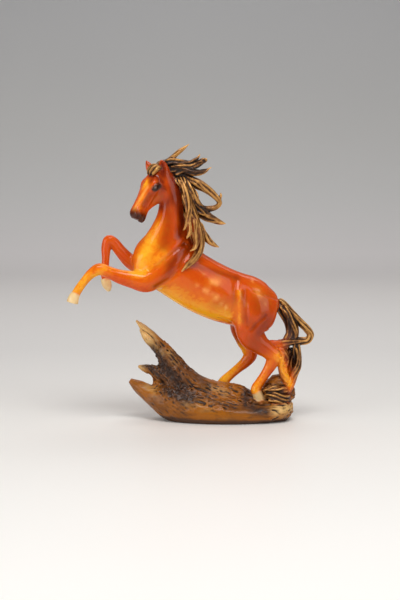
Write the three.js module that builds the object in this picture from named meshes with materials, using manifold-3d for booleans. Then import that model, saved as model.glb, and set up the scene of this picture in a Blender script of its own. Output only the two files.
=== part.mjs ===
// A rearing horse on a driftwood base, carved or cast as one piece of amber-coloured resin.
// Millimetres, +Z up. The horse faces -X, and its left side is at -Y.
// The origin is the middle of the underside.
import * as THREE from "three";
import { mergeVertices } from "three/addons/utils/BufferGeometryUtils.js";
import Module from "manifold-3d";

const wasm = await Module();
wasm.setup();

// Driving dimensions
const FIGURE_HEIGHT = 166; // floor to the highest tip of the mane
const BASE_LENGTH = 98; // the driftwood hull, from its right end to the tip of its lowest prong
const BASE_DEPTH = 41; // the hull, front to back
const BASE_HEIGHT = 12; // the ground under the standing hoof, above the floor

// The free forms are drawn on a sculptor's grid, with this number of squares in the figure's height.
// A form's rows are [x, y, z, thick, wide]: a point on its middle line, then half its thickness
// across that line and half its width towards the reader, all in squares of the grid.
const GRID_COUNT = 276;
const GRID = FIGURE_HEIGHT / GRID_COUNT;
const GROUND_COUNT = 20; // squares from the grid's foot to the ground under the standing hoof

// The horse stands turned a little towards the reader, and its head is turned further.
const BODY_TURN = THREE.MathUtils.degToRad(12);
const HEAD_TURN = THREE.MathUtils.degToRad(42);
const HEAD_NOD = THREE.MathUtils.degToRad(54.8); // the face's slope below the horizontal
const DEPTHWAYS = new THREE.Vector3(0, 1, 0);
const BODY_SIDE = sideways(BODY_TURN);
const HEAD_SIDE = sideways(HEAD_TURN);

// Facets round a form, by its kind, and how many rings there are for each of its rows
const SIDES = { trunk: 18, neck: 14, head: 14, limb: 10, small: 7, lock: 6, wood: 12, hull: 22 };
const RINGS = 1.5;
const FINE_RINGS = 1;
const WELD = 1e-3; // corners closer than this are one
const FLOOR_CUT = 4 * BASE_LENGTH; // the block that cuts the underside flat, larger than the figure

/** The horizontal direction that points to the horse's right when it is turned by an angle. */
function sideways(turn) {
  return new THREE.Vector3(-Math.sin(turn), Math.cos(turn), 0);
}

/** A closed solid of elliptical rings along a smooth line through the rows. */
function loft(rows, { side = BODY_SIDE, endSide, sides = SIDES.limb, rings = RINGS, scale = GRID }) {
  const middles = rows.map(([x, y, z]) => new THREE.Vector3(x, y, z));
  const girths = rows.map(([, , , thick, wide = thick]) => new THREE.Vector2(thick, wide));
  const line = new THREE.CatmullRomCurve3(middles);
  const girth = new THREE.SplineCurve(girths);
  const count = Math.round((rows.length - 1) * rings);
  const vertices = [];
  const put = (p) => vertices.push(p.x * scale, p.y * scale, p.z * scale);
  for (let ring = 0; ring <= count; ring++) {
    const t = ring / count;
    const centre = line.getPoint(t);
    const along = line.getTangent(t);
    const across = side.clone().lerp(endSide ?? side, t);
    across.addScaledVector(along, -across.dot(along)).normalize();
    const upward = across.clone().cross(along);
    const { x: thick, y: wide } = girth.getPoint(t);
    for (let k = 0; k < sides; k++) {
      const angle = (2 * Math.PI * k) / sides;
      const point = centre.clone();
      point.addScaledVector(upward, thick * Math.cos(angle));
      point.addScaledVector(across, wide * Math.sin(angle));
      put(point);
    }
  }
  put(line.getPoint(0));
  put(line.getPoint(1));
  return closedTube(vertices, count + 1, sides);
}

/** Joins rings of vertices into a closed geometry; the last two vertices are the middles of its ends. */
function closedTube(vertices, rings, sides) {
  const faces = [];
  const first = rings * sides;
  for (let k = 0; k < sides; k++) {
    const next = (k + 1) % sides;
    for (let ring = 0; ring < rings - 1; ring++) {
      const here = ring * sides;
      const there = here + sides;
      faces.push(here + k, here + next, there + k, here + next, there + next, there + k);
    }
    const last = (rings - 1) * sides;
    faces.push(first, next, k, first + 1, last + k, last + next);
  }
  const geometry = new THREE.BufferGeometry();
  geometry.setAttribute("position", new THREE.Float32BufferAttribute(vertices, 3));
  geometry.setIndex(faces);
  return geometry;
}

/** A closed geometry as a solid that can be joined and cut. */
function solid(geometry) {
  const bare = geometry.clone();
  bare.deleteAttribute("normal");
  bare.deleteAttribute("uv");
  const merged = mergeVertices(bare, WELD);
  return new wasm.Manifold(
    new wasm.Mesh({
      numProp: 3,
      vertProperties: merged.attributes.position.array,
      triVerts: new Uint32Array(merged.index.array),
    }),
  );
}

/** The barrel of the body, from the breast to the dock of the tail. */
function trunk() {
  return loft(
    [
      [-87, -17.5, 161, 5, 5],
      [-80, -16, 160, 15, 13],
      [-68, -13.5, 158, 23, 18.5],
      [-54, -10.5, 152.5, 26, 20.5],
      [-38, -7, 144, 27.8, 21.5],
      [-22, -3.6, 134.5, 28, 22.5],
      [-6, -0.3, 126.8, 27.6, 22],
      [9, 3, 121.5, 26.8, 21],
      [24, 6, 117.6, 26, 20.5],
      [37, 8.8, 115, 21.5, 18],
      [46, 10.7, 113.8, 14, 12],
      [52, 12, 112, 4, 4],
    ],
    { sides: SIDES.trunk },
  );
}

/** The arched neck, which turns with the head as it rises. */
function neck() {
  return loft(
    [
      [-54, -11, 159.6, 30, 17],
      [-57, -13, 175.8, 26, 15.5],
      [-56, -15, 192, 18.5, 13],
      [-54.3, -17, 208, 13.6, 11],
      [-54, -18.5, 222, 12.5, 10],
      [-57, -20, 234.5, 12.5, 9],
      [-62, -21, 243.5, 10, 8],
      [-68, -22, 248.5, 5, 6],
    ],
    { side: BODY_SIDE, endSide: HEAD_SIDE, sides: SIDES.neck },
  );
}

/** The breast, which fills the corner between the throat and the forelegs. */
function breast() {
  return loft(
    [
      [-76, -16, 143, 6, 8],
      [-78, -16.5, 156, 14, 12],
      [-76, -16.5, 168, 15, 12.5],
      [-68.5, -16, 180, 12.4, 11.5],
      [-63, -16, 191, 10, 10],
      [-59.5, -16.5, 202, 6, 8],
    ],
    { sides: SIDES.limb, rings: FINE_RINGS },
  );
}

// The head's own frame: the poll, then down the face, out of the forehead and to the horse's right
const POLL = new THREE.Vector3(-71, -23, 251.8);
const UPWARD = new THREE.Vector3(0, 0, 1);
const AHEAD = new THREE.Vector3(-Math.cos(HEAD_TURN), -Math.sin(HEAD_TURN), 0);
const DOWN_FACE = AHEAD.clone().applyAxisAngle(HEAD_SIDE, -HEAD_NOD);
const OUT_OF_FACE = UPWARD.clone().applyAxisAngle(HEAD_SIDE, -HEAD_NOD);

/** A row given in the head's frame: down the face, out of it, to the right, then its half sizes. */
function headRow([down, out, right, thick, wide]) {
  const p = POLL.clone();
  p.addScaledVector(DOWN_FACE, down);
  p.addScaledVector(OUT_OF_FACE, out);
  p.addScaledVector(HEAD_SIDE, right);
  return [p.x, p.y, p.z, thick, wide];
}

/** The skull and muzzle, the jaw, the eyes and the ears. */
function head() {
  const inFrame = (rows, options) => loft(rows.map(headRow), { side: HEAD_SIDE, ...options });
  const skull = inFrame(
    [
      [-3, -9, 0, 6, 6],
      [4, -10.5, 0, 10.5, 8.8],
      [12, -10, 0, 11.5, 9.8],
      [20, -9.5, 0, 10.2, 8.6],
      [28, -9, 0, 9.2, 6.6],
      [36, -8.6, 0, 8.4, 5.3],
      [44, -8.8, 0, 7.9, 4.8],
      [49.5, -9.4, 0, 7.2, 5],
      [53, -10, 0, 4.2, 3.2],
    ],
    { sides: SIDES.head },
  );
  const chin = inFrame(
    [
      [34, -14, 0, 2.5, 2.4],
      [42, -14.8, 0, 3, 3],
      [49, -15.6, 0, 3.4, 3.2],
      [52.4, -16, 0, 1.8, 1.8],
    ],
    { sides: SIDES.small, rings: FINE_RINGS },
  );
  const parts = [skull, chin];
  for (const way of [-1, 1]) {
    const jowl = [
      [5, -17, 4 * way, 5, 3.4],
      [12, -19.5, 4.4 * way, 8, 4.4],
      [20, -19, 4 * way, 6.6, 4.2],
      [29, -17, 3 * way, 4, 3],
      [38, -14, 2 * way, 2, 2],
    ];
    const brow = [
      [11, -3.5, 7.2 * way, 1.6, 1.6],
      [15, -3.6, 8.6 * way, 3, 2.4],
      [19, -4.6, 8 * way, 2.6, 2.2],
      [23, -5.6, 6.6 * way, 1.2, 1.2],
    ];
    const nostril = [
      [43, -5, 3 * way, 1.2, 1.4],
      [48, -5, 3.8 * way, 2.8, 2],
      [51.5, -6, 3.2 * way, 1.6, 1.6],
    ];
    for (const rows of [jowl, brow, nostril]) {
      parts.push(inFrame(rows, { sides: SIDES.small, rings: FINE_RINGS }));
    }
  }
  const nearEar = [
    [-60.5, -23.5, 242, 3.2, 3],
    [-61.3, -25, 249, 4, 2.4],
    [-62.6, -26, 255, 2.9, 1.9],
    [-64.2, -26.5, 259.7, 0.5, 0.5],
  ];
  const farEar = [
    [-72, -15.5, 245, 2.8, 3],
    [-74.2, -15, 250, 3.2, 2.4],
    [-77, -14.5, 254.5, 2.3, 1.9],
    [-79.6, -14, 259, 0.5, 0.5],
  ];
  for (const rows of [nearEar, farEar]) {
    parts.push(loft(rows, { sides: SIDES.small }));
  }
  return parts;
}

/** The muscles that stand out on the trunk: breast, shoulder, upper arm and croup, on both sides. */
function muscles() {
  const near = [
    [
      [-86, -22, 146, 2, 2],
      [-84, -24, 154, 7, 5],
      [-79, -25, 164, 8, 5.5],
      [-73, -25, 175, 3, 2.5],
    ],
    [
      [-77, -28, 145, 4, 3],
      [-66, -27.5, 148, 9, 5.5],
      [-54, -25, 156, 8.5, 5.5],
      [-44, -21, 168, 6, 4],
      [-38, -18, 180, 1.5, 1.5],
    ],
    [
      [-72, -25, 157, 3, 3],
      [-62, -26, 163, 8, 5],
      [-52, -24, 172, 7.5, 4.5],
      [-44, -20, 184, 2, 2],
    ],
  ];
  const far = [
    [
      [-86, -10, 146, 2, 2],
      [-82, -6, 156, 7, 6],
      [-77, -5, 167, 7, 6],
      [-71, -6, 178, 2.5, 2.5],
    ],
    [
      [-78, 0, 148, 4, 3],
      [-67, 4.5, 154, 9, 5.5],
      [-54, 7, 164, 8, 5],
      [-44, 6, 178, 2, 2],
    ],
  ];
  return [...near, ...far].map((rows) => loft(rows, { sides: SIDES.small, rings: FINE_RINGS }));
}

/** A leg and its hoof; the hoof's first row sits in the pastern, and its last is the flat sole. */
function leg(rows, hoof) {
  return [loft(rows, {}), loft(hoof, { rings: FINE_RINGS })];
}

/** The left foreleg reaches forward, and the right one is folded at a raised knee. */
function forelegs() {
  const left = leg(
    [
      [-60, -22, 156, 14, 8],
      [-69, -27, 147, 12.5, 8.5],
      [-79, -30, 141.5, 10.5, 8],
      [-91, -31, 143.6, 8.8, 7],
      [-104, -33, 146.8, 7, 6],
      [-115, -35, 151.5, 5.8, 5.3],
      [-123.5, -36.5, 154.3, 6, 5.4],
      [-131, -38, 150.5, 4.9, 4.4],
      [-138, -39, 143, 4.1, 3.7],
      [-143.5, -40, 135.5, 4.2, 3.8],
      [-146.5, -40.5, 130.5, 4.2, 4],
    ],
    [
      [-146, -40.5, 131.5, 4.2, 4.2],
      [-148.5, -40.8, 126.5, 5.4, 5.2],
      [-149.8, -41, 122, 5.8, 5.6],
    ],
  );
  const right = leg(
    [
      [-74, -4, 149, 11, 8],
      [-85, -5, 155, 9.5, 7.5],
      [-95, -6.5, 159.8, 7.4, 6.5],
      [-104.5, -8.5, 169.8, 6, 5.6],
      [-111, -10, 178, 5.6, 5.2],
      [-115.8, -11, 180.8, 5.4, 5.2],
      [-118.4, -11.5, 174, 4.9, 4.4],
      [-119, -12, 163.7, 3.9, 3.7],
      [-119.5, -12.5, 153.7, 3.7, 3.6],
      [-119.7, -13, 146.8, 4.2, 4],
      [-118.6, -13, 142, 4, 3.9],
    ],
    [
      [-120, -13, 143.5, 4.2, 4.2],
      [-118.3, -13, 138.5, 4.9, 4.8],
      [-116.8, -13, 134, 3.8, 4.4],
      [-115.8, -13, 130.5, 1.6, 2.5],
    ],
  );
  return [...left, ...right];
}

/** The haunches and the hind legs that the horse stands on. */
function hindlegs() {
  const left = leg(
    [
      [33, 0, 122.5, 19, 12],
      [30, -4, 108.9, 21, 13],
      [26, -5.5, 96, 18.5, 11.5],
      [26.5, -6, 85, 14.5, 9.5],
      [33, -6, 77, 10.5, 7.5],
      [42, -5.5, 70.5, 8.5, 6.3],
      [47.5, -5, 64.5, 8.2, 5.6],
      [45.5, -4.5, 57, 6.4, 4.8],
      [40, -4, 47.4, 4.9, 4.3],
      [34, -4.5, 38.4, 4.7, 4.3],
      [30, -5, 31.5, 5.2, 4.9],
      [30.5, -5.5, 27, 4.8, 4.8],
    ],
    [
      [30.5, -5.5, 28.5, 4.8, 4.8],
      [33.5, -6, 22, 5.4, 5.6],
      [35.5, -6.3, 17.5, 5.8, 6],
    ],
  );
  const right = leg(
    [
      [24, 15, 107, 18, 11],
      [19, 17, 91, 15, 10],
      [20, 18, 78.7, 10, 8],
      [23.5, 18.5, 69.7, 8, 6.5],
      [25, 18.5, 62.6, 7.3, 5.8],
      [21, 18.5, 56, 5.9, 4.8],
      [13, 18, 49, 4.7, 4.2],
      [4.5, 17.5, 41.8, 4.6, 4.2],
      [-2.5, 17, 34.8, 5.2, 4.8],
      [-5.5, 17, 30, 4.6, 4.6],
    ],
    [
      [-6.5, 17, 31, 4.8, 4.8],
      [-5, 16.5, 25, 5.6, 5.6],
      [-4, 16, 20, 6, 6],
    ],
  );
  return [...left, ...right];
}

/** Locks of hair: each row is [x, y, z, half thickness], and a lock ends in a fine tip. */
function locks(list) {
  return list.map((rows) => loft(rows, { side: DEPTHWAYS, sides: SIDES.lock, rings: FINE_RINGS }));
}

/** The mane streams back from the poll in open strands and hangs down the left of the neck. */
function mane() {
  return locks([
    [
      [-72, -24, 248, 4],
      [-61, -20, 252, 5.5],
      [-50, -18, 245, 7],
      [-43, -17, 231, 7],
      [-38, -16, 212, 7.5],
      [-32, -15, 194, 7.5],
      [-27, -13, 178, 6.5],
      [-25, -12, 169, 3],
    ],
    [
      [-71, -25, 250, 2],
      [-65.4, -22, 256.4, 2.8],
      [-57.5, -21, 258.4, 3.2],
      [-51.6, -20, 262.6, 3],
      [-45.7, -19, 268.2, 2.4],
      [-40.8, -18, 271.8, 1.7],
      [-36, -17, 275.5, 0.5],
    ],
    [
      [-62, -22, 255, 4],
      [-53, -21, 258.5, 4.2],
      [-44, -20, 257.5, 3.4],
      [-36, -19, 256.3, 3],
      [-30, -18, 260, 2.4],
      [-25.5, -17, 265.7, 0.7],
    ],
    [
      [-56, -23, 251.5, 4.5],
      [-46, -23, 253, 4],
      [-36, -22, 252.5, 3.4],
      [-29, -21, 254.8, 3.2],
      [-23.5, -20, 258.7, 3],
      [-19, -20, 260.3, 2.4],
    ],
    [
      [-52, -22, 247.5, 4.5],
      [-42, -24, 249.5, 3.6],
      [-32, -24, 247.5, 3.6],
      [-23.5, -23, 248.3, 2.8],
      [-14.3, -22, 253, 0.6],
    ],
    [
      [-50, -20, 244.5, 5],
      [-42.8, -20, 243.7, 5.5],
      [-35.9, -20, 239.8, 5.5],
      [-28, -20, 236.3, 5.4],
      [-21, -20, 232.4, 4.5],
      [-14, -20, 227, 3.6],
      [-8.7, -20, 221.6, 2.8],
      [-6.8, -20, 217.6, 2.5],
      [-10.2, -20, 213.9, 2.6],
      [-17, -20, 212.2, 3.2],
      [-24, -21, 212.8, 3.2],
      [-30, -22, 217, 2.6],
    ],
    [
      [-8, -20, 219, 2.3],
      [-5.8, -19, 224.5, 1.6],
      [-5.8, -19, 228.5, 0.5],
    ],
    [
      [-48, -23, 243, 5],
      [-40.5, -24, 235, 6],
      [-33.5, -25, 226, 5.6],
      [-28.5, -24, 218, 4],
      [-23, -22, 213.8, 3],
    ],
    [
      [-36, -24, 220, 5],
      [-29, -22, 213, 5],
      [-21, -20, 206.2, 5.6],
      [-13.2, -19, 202.3, 4.3],
      [-6.3, -18, 198.8, 2.6],
      [-0.3, -18, 197.4, 0.6],
    ],
    [
      [-29, -20, 200.5, 4.5],
      [-23, -19, 188.6, 4],
      [-17, -18, 180.5, 3.2],
      [-11, -17, 176.2, 2],
      [-7, -17, 174.2, 0.8],
    ],
    [
      [-43, -25, 237, 4],
      [-39, -27, 223.2, 5],
      [-34, -27, 209.2, 5],
      [-29, -26, 195, 5],
      [-26, -25, 182, 4.5],
      [-27, -25, 171, 4.2],
      [-32, -27, 163.2, 3.6],
      [-39, -29, 157, 2.8],
      [-44, -31, 151.6, 1.2],
    ],
    [
      [-45, -22, 242.7, 4],
      [-40, -29, 231.4, 3.4],
      [-37, -30, 217.5, 3.6],
      [-37, -30, 203.5, 3.2],
      [-40, -29, 194.4, 1.8],
      [-42.5, -28, 191.3, 0.6],
    ],
    [
      [-38, -29, 215.4, 3.4],
      [-35, -30, 201.5, 3.6],
      [-36, -30, 189.5, 2.6],
      [-39, -30, 183.5, 1],
    ],
    [
      [-33, -30, 207.5, 3.2],
      [-30, -30, 193.5, 3.2],
      [-29, -29, 181.4, 2.8],
      [-32, -29, 173.4, 2],
      [-36, -30, 171.5, 0.7],
    ],
    [
      [-42, -10, 236, 4.5],
      [-37, -6, 220, 5],
      [-31, -5, 203, 5],
      [-27, -5, 187, 4.5],
      [-29, -4, 172, 3.4],
      [-36, -3, 162, 1],
    ],
  ]);
}

/** The tuft of forelock between the ears. */
function forelock() {
  return locks([
    [
      [-64, -22, 252, 3],
      [-70, -24, 253, 4],
      [-74, -25.5, 249.5, 3.4],
      [-76, -27, 245.5, 1.4],
    ],
    [
      [-64, -26, 251, 2.8],
      [-68, -29, 250.5, 3.4],
      [-71, -31, 246.5, 2.6],
      [-72, -32, 243.5, 1],
    ],
  ]);
}

/** The tail falls in open loops from the dock, past the hock, to the end of the base. */
function tail() {
  return locks([
    [
      [50, 12, 119, 5],
      [57, 12, 115, 4.6],
      [65.5, 10, 106.5, 4.2],
      [74, 8, 97.9, 4],
      [81, 6, 91, 3.9],
      [85, 5, 84.5, 3.8],
      [82, 4, 79.6, 4],
      [74, 3, 78.8, 4.3],
      [64, 0, 78.5, 4.2],
      [54, -3, 77.5, 4.8],
      [44, -5, 78.5, 4],
    ],
    [
      [51, 12, 115.3, 6],
      [58, 10, 105.5, 5],
      [63, 7, 95.8, 4.4],
      [64, 4, 87, 4.2],
      [61, 1, 79.4, 4.5],
      [59, -1, 70.5, 5],
      [61, -1, 60.5, 4.5],
    ],
    [
      [56, 10, 113.5, 4.5],
      [63, 8, 104.7, 4.6],
      [68, 5, 95, 4.6],
      [69, 3, 85.2, 4.2],
      [65, 1, 78, 3.8],
    ],
    [
      [69, 3, 78, 5],
      [70.5, 2, 70.3, 4.8],
      [72, 1, 60.3, 4.2],
      [71.5, 0, 52.3, 4],
      [68.5, -1, 44.6, 4],
      [65.5, -2, 36.6, 4],
      [61.5, -4, 29.8, 4],
      [56, -6, 25, 3],
    ],
    [
      [48, -4, 73, 7],
      [56, -3, 66, 7],
      [57.5, -3, 60, 6],
      [57, -3, 53, 5.3],
      [58, -3, 46, 4.6],
      [61.5, -3, 38, 4.3],
      [65, -3, 31.8, 4],
    ],
    [
      [63, 4, 72, 5],
      [65.5, 5, 60, 5],
      [65.5, 4, 48, 4.5],
      [63, 2, 36, 4.5],
    ],
    [
      [37, -10, 30.5, 3],
      [47, -12, 32.5, 3.6],
      [57, -9, 31.4, 3.8],
      [63, -3, 30, 3],
    ],
    [
      [38, -12, 25.5, 3],
      [48, -15, 26.5, 3.8],
      [59, -10, 24.5, 4],
      [64, -3, 23, 3],
    ],
    [
      [42, -14, 20.5, 3],
      [50, -16, 21.5, 3.8],
      [59, -11, 19.5, 4],
      [64, -4, 18, 3],
    ],
  ]);
}

/** The lump of gnarled wood that the tail runs down to, behind the standing leg. */
function tailStump() {
  return loft(
    [
      [36, 9, 14, 6, 9],
      [44, 8, 22.6, 9.4, 12],
      [54, 6, 31, 13.5, 14],
      [61, 4, 26, 9.5, 10],
      [65, 2, 19, 5, 6],
    ],
    { side: DEPTHWAYS, sides: SIDES.wood },
  );
}

/** The hull of the base, a boat-like log: its rows are shares of the base's length, depth and height. */
function hull() {
  const rows = [
    [0.41, 0, 0.6, 0.2, 0.1],
    [0.375, 0, 0.58, 0.54, 0.27],
    [0.285, 0, 0.46, 0.6, 0.41],
    [0.18, 0, 0.42, 0.66, 0.475],
    [0.06, 0, 0.42, 0.8, 0.5],
    [-0.065, 0, 0.5, 0.95, 0.5],
    [-0.19, 0, 0.65, 1.05, 0.46],
    [-0.295, 0, 0.85, 1.05, 0.385],
    [-0.38, 0, 1.05, 0.85, 0.3],
    [-0.465, 0.02, 1.27, 0.46, 0.2],
    [-0.54, 0.03, 1.67, 0.31, 0.12],
    [-0.592, 0.04, 1.95, 0.12, 0.05],
  ].map(([x, y, z, thick, wide]) => [
    x * BASE_LENGTH,
    y * BASE_DEPTH,
    z * BASE_HEIGHT,
    thick * BASE_HEIGHT,
    wide * BASE_DEPTH,
  ]);
  return loft(rows, { side: DEPTHWAYS, sides: SIDES.hull, scale: 1 });
}

/** The log that lies across the hull: its broken spike, a shorter prong and the wood between. */
function log() {
  const spike = [
    [-90, 4, 99.5, 1, 1.2],
    [-83.5, 4, 93, 3.2, 3.5],
    [-77, 4, 84, 6.4, 6],
    [-68, 4, 74, 7.4, 8],
    [-60, 4, 64, 9.4, 10],
    [-54, 4, 53, 12.4, 13],
    [-47, 4, 42.5, 13.8, 16],
    [-34, 5, 32, 14.6, 18],
    [-18, 7, 25, 14, 18],
    [0, 9, 22, 13, 17],
    [13, 10, 20, 13, 15],
    [22, 11, 17, 10, 12],
    [32, 12, 10, 5, 8],
  ];
  const prong = [
    [-88, 2, 53.5, 1.2],
    [-81, 2, 51.2, 4],
    [-74, 2, 49.2, 5.2],
    [-64, 2, 45, 8],
    [-54, 2, 38, 9],
  ];
  const crotch = [
    [-64, 3, 50, 5],
    [-67, 3, 41, 6],
    [-65, 3, 31, 7],
  ];
  return [
    loft(spike, { side: DEPTHWAYS, sides: SIDES.wood }),
    loft(prong, { side: DEPTHWAYS, sides: SIDES.small }),
    loft(crotch, { side: DEPTHWAYS, sides: SIDES.small }),
  ];
}

/** Everything that stands on the base, raised to its ground, with the base and the floor's cut. */
function statuette() {
  const figure = [trunk(), neck(), breast(), ...head(), ...muscles(), ...forelegs(), ...hindlegs()];
  const hair = [...mane(), ...forelock(), ...tail(), tailStump()];
  const raised = [...figure, ...hair, ...log()];
  const lift = BASE_HEIGHT - GROUND_COUNT * GRID;
  raised.forEach((geometry) => geometry.translate(0, 0, lift));
  const whole = wasm.Manifold.union([...raised, hull()].map(solid));
  const below = new THREE.BoxGeometry(FLOOR_CUT, FLOOR_CUT, FLOOR_CUT);
  below.translate(0, 0, -FLOOR_CUT / 2);
  return whole.subtract(solid(below));
}

/** A joined solid back as a geometry. */
function geometryOf(joined) {
  const { vertProperties, triVerts, numProp } = joined.getMesh();
  const positions = new Float32Array((vertProperties.length / numProp) * 3);
  for (let v = 0; v < positions.length / 3; v++) {
    positions.set(vertProperties.subarray(v * numProp, v * numProp + 3), 3 * v);
  }
  const geometry = new THREE.BufferGeometry();
  geometry.setAttribute("position", new THREE.BufferAttribute(positions, 3));
  geometry.setIndex(new THREE.BufferAttribute(new Uint32Array(triVerts), 1));
  geometry.computeVertexNormals();
  return geometry;
}

/** The largest shell of a joined solid: a pocket sealed in where forms meet is filled, as in a casting. */
function outerSkin(joined) {
  const shells = solid(geometryOf(joined)).decompose();
  return shells.sort((one, other) => other.volume() - one.volume())[0];
}

const amber = new THREE.MeshStandardMaterial({ color: 0xc8500a, roughness: 0.15, metalness: 0 });
const horse = new THREE.Mesh(geometryOf(outerSkin(statuette())), amber);
horse.name = "rearing_horse";

const root = new THREE.Group();
root.add(horse);
export default root;
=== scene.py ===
"""A rearing horse statuette: one casting of amber-coloured resin, with gilded hair and a driftwood base."""
import logging
import math
from dataclasses import dataclass
from enum import Enum

import bpy
import numpy as np
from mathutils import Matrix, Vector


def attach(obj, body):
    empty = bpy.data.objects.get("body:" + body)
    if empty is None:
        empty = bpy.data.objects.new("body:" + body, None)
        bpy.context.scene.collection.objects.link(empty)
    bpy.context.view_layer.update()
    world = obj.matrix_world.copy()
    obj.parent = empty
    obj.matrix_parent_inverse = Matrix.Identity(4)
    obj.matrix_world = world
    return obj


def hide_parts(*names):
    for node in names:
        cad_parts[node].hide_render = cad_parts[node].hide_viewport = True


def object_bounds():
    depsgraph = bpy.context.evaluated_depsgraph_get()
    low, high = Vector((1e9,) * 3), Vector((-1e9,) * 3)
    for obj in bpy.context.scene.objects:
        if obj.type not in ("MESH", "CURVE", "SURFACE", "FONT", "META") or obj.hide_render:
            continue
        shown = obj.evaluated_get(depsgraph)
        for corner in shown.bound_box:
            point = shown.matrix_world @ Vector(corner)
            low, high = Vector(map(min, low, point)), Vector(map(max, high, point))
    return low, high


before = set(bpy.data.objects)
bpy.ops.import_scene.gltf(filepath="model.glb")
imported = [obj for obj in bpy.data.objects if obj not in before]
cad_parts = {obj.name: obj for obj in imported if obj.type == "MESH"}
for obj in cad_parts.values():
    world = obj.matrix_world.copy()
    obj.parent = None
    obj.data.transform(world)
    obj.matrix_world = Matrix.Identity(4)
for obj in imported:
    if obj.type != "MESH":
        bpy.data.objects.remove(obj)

import openvdb
from mathutils import Vector

LOG = logging.getLogger("statuette")

NODE = "rearing_horse"
CAD_LOW, CAD_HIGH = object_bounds()

# The figure is drawn on a sculptor's grid, whose squares all the rows and places below are in.
GRID_SQUARES = 276
SQUARE = (CAD_HIGH.z - CAD_LOW.z) / GRID_SQUARES
BASE_LENGTH = 0.098 / SQUARE
BASE_DEPTH = 0.041 / SQUARE
BASE_HEIGHT = 0.012 / SQUARE

# The horse stands turned a little towards the reader, and its head is turned further and bent down.
BODY_TURN = math.radians(12)
HEAD_TURN = math.radians(42)
HEAD_NOD = math.radians(54.8)

LEAST_GIRTH = 0.2  # of a form's rings, in squares
MIDDLE = (-26 * SQUARE, 0.0, 120.5 * SQUARE)  # of the photograph, in metres

Rows = tuple[tuple[float, ...], ...]
Array = np.ndarray


def sideways(turn: float) -> Array:
    """The level direction that points to the horse's right when it is turned by an angle."""
    return np.array((-math.sin(turn), math.cos(turn), 0.0))


DEPTHWAYS = np.array((0.0, 1.0, 0.0))
BODY_SIDE = sideways(BODY_TURN)
HEAD_SIDE = sideways(HEAD_TURN)


def unit(vectors: Array) -> Array:
    """Scales each vector to a length of one."""
    return vectors / np.maximum(np.linalg.norm(vectors, axis=-1, keepdims=True), 1e-9)


def spline(rows: Array, count: int) -> tuple[Array, Array]:
    """Runs a centripetal Catmull-Rom spline through rows.

    Args:
        rows: One row a point; the first three columns are its place.
        count: How many points to return, spread evenly from row to row.

    Returns:
        The rows along the spline, and the direction of the line at each.
    """
    padded = np.vstack((2 * rows[0] - rows[1], rows, 2 * rows[-1] - rows[-2]))
    knots = np.sqrt(np.maximum(np.linalg.norm(np.diff(padded[:, :3], axis=0), axis=1), 1e-4))[:, None]
    place = np.linspace(0, len(rows) - 1, count)
    part = np.minimum(place.astype(int), len(rows) - 2)
    t = (place - part)[:, None]
    p0, p1, p2, p3 = (padded[part + i] for i in range(4))
    d0, d1, d2 = (knots[part + i] for i in range(3))
    into = ((p1 - p0) / d0 - (p2 - p0) / (d0 + d1) + (p2 - p1) / d1) * d1
    out = ((p2 - p1) / d1 - (p3 - p1) / (d1 + d2) + (p3 - p2) / d2) * d1
    bend = -3 * p1 + 3 * p2 - 2 * into - out
    twist = 2 * p1 - 2 * p2 + into + out
    points = p1 + into * t + bend * t**2 + twist * t**3
    heading = into + 2 * bend * t + 3 * twist * t**2
    return points, unit(heading[:, :3])


@dataclass(frozen=True)
class Skin:
    """A closed surface of points and triangles."""

    points: Array
    triangles: Array

    @staticmethod
    def tube(centres: Array, upward: Array, across: Array, girth: Array, facets: int) -> "Skin":
        """Joins elliptical rings into a closed tube.

        Args:
            centres: The middle of each ring.
            upward: Each ring's direction of thickness.
            across: Each ring's direction of width.
            girth: Each ring's half thickness and half width.
            facets: How many sides a ring has.

        Returns:
            The tube, closed by a fan at each end.
        """
        angle = np.linspace(0, 2 * np.pi, facets, endpoint=False)[None, :, None]
        rings = centres[:, None] + upward[:, None] * (girth[:, None, :1] * np.cos(angle))
        rings = rings + across[:, None] * (girth[:, None, 1:] * np.sin(angle))
        count = len(centres)
        here = (np.arange(count - 1)[:, None] * facets + np.arange(facets)).ravel()
        beside = (np.arange(count - 1)[:, None] * facets + (np.arange(facets) + 1) % facets).ravel()
        sides = np.vstack((np.stack((here, beside, here + facets), 1),
                           np.stack((beside, beside + facets, here + facets), 1)))
        k = np.arange(facets)
        nxt = (k + 1) % facets
        last = (count - 1) * facets
        hubs = count * facets
        start = np.stack((np.full(facets, hubs), nxt, k), 1)
        end = np.stack((np.full(facets, hubs + 1), last + k, last + nxt), 1)
        points = np.vstack((rings.reshape(-1, 3), centres[:1], centres[-1:]))
        return Skin(points, np.vstack((sides, start, end)))

    @staticmethod
    def joined(skins: list["Skin"]) -> "Skin":
        """Puts several closed surfaces into one list of points and triangles.

        Args:
            skins: The surfaces.

        Returns:
            One surface of them all.
        """
        offsets = np.cumsum([0] + [len(s.points) for s in skins[:-1]])
        triangles = np.vstack([s.triangles + o for s, o in zip(skins, offsets)])
        return Skin(np.vstack([s.points for s in skins]), triangles)


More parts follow.
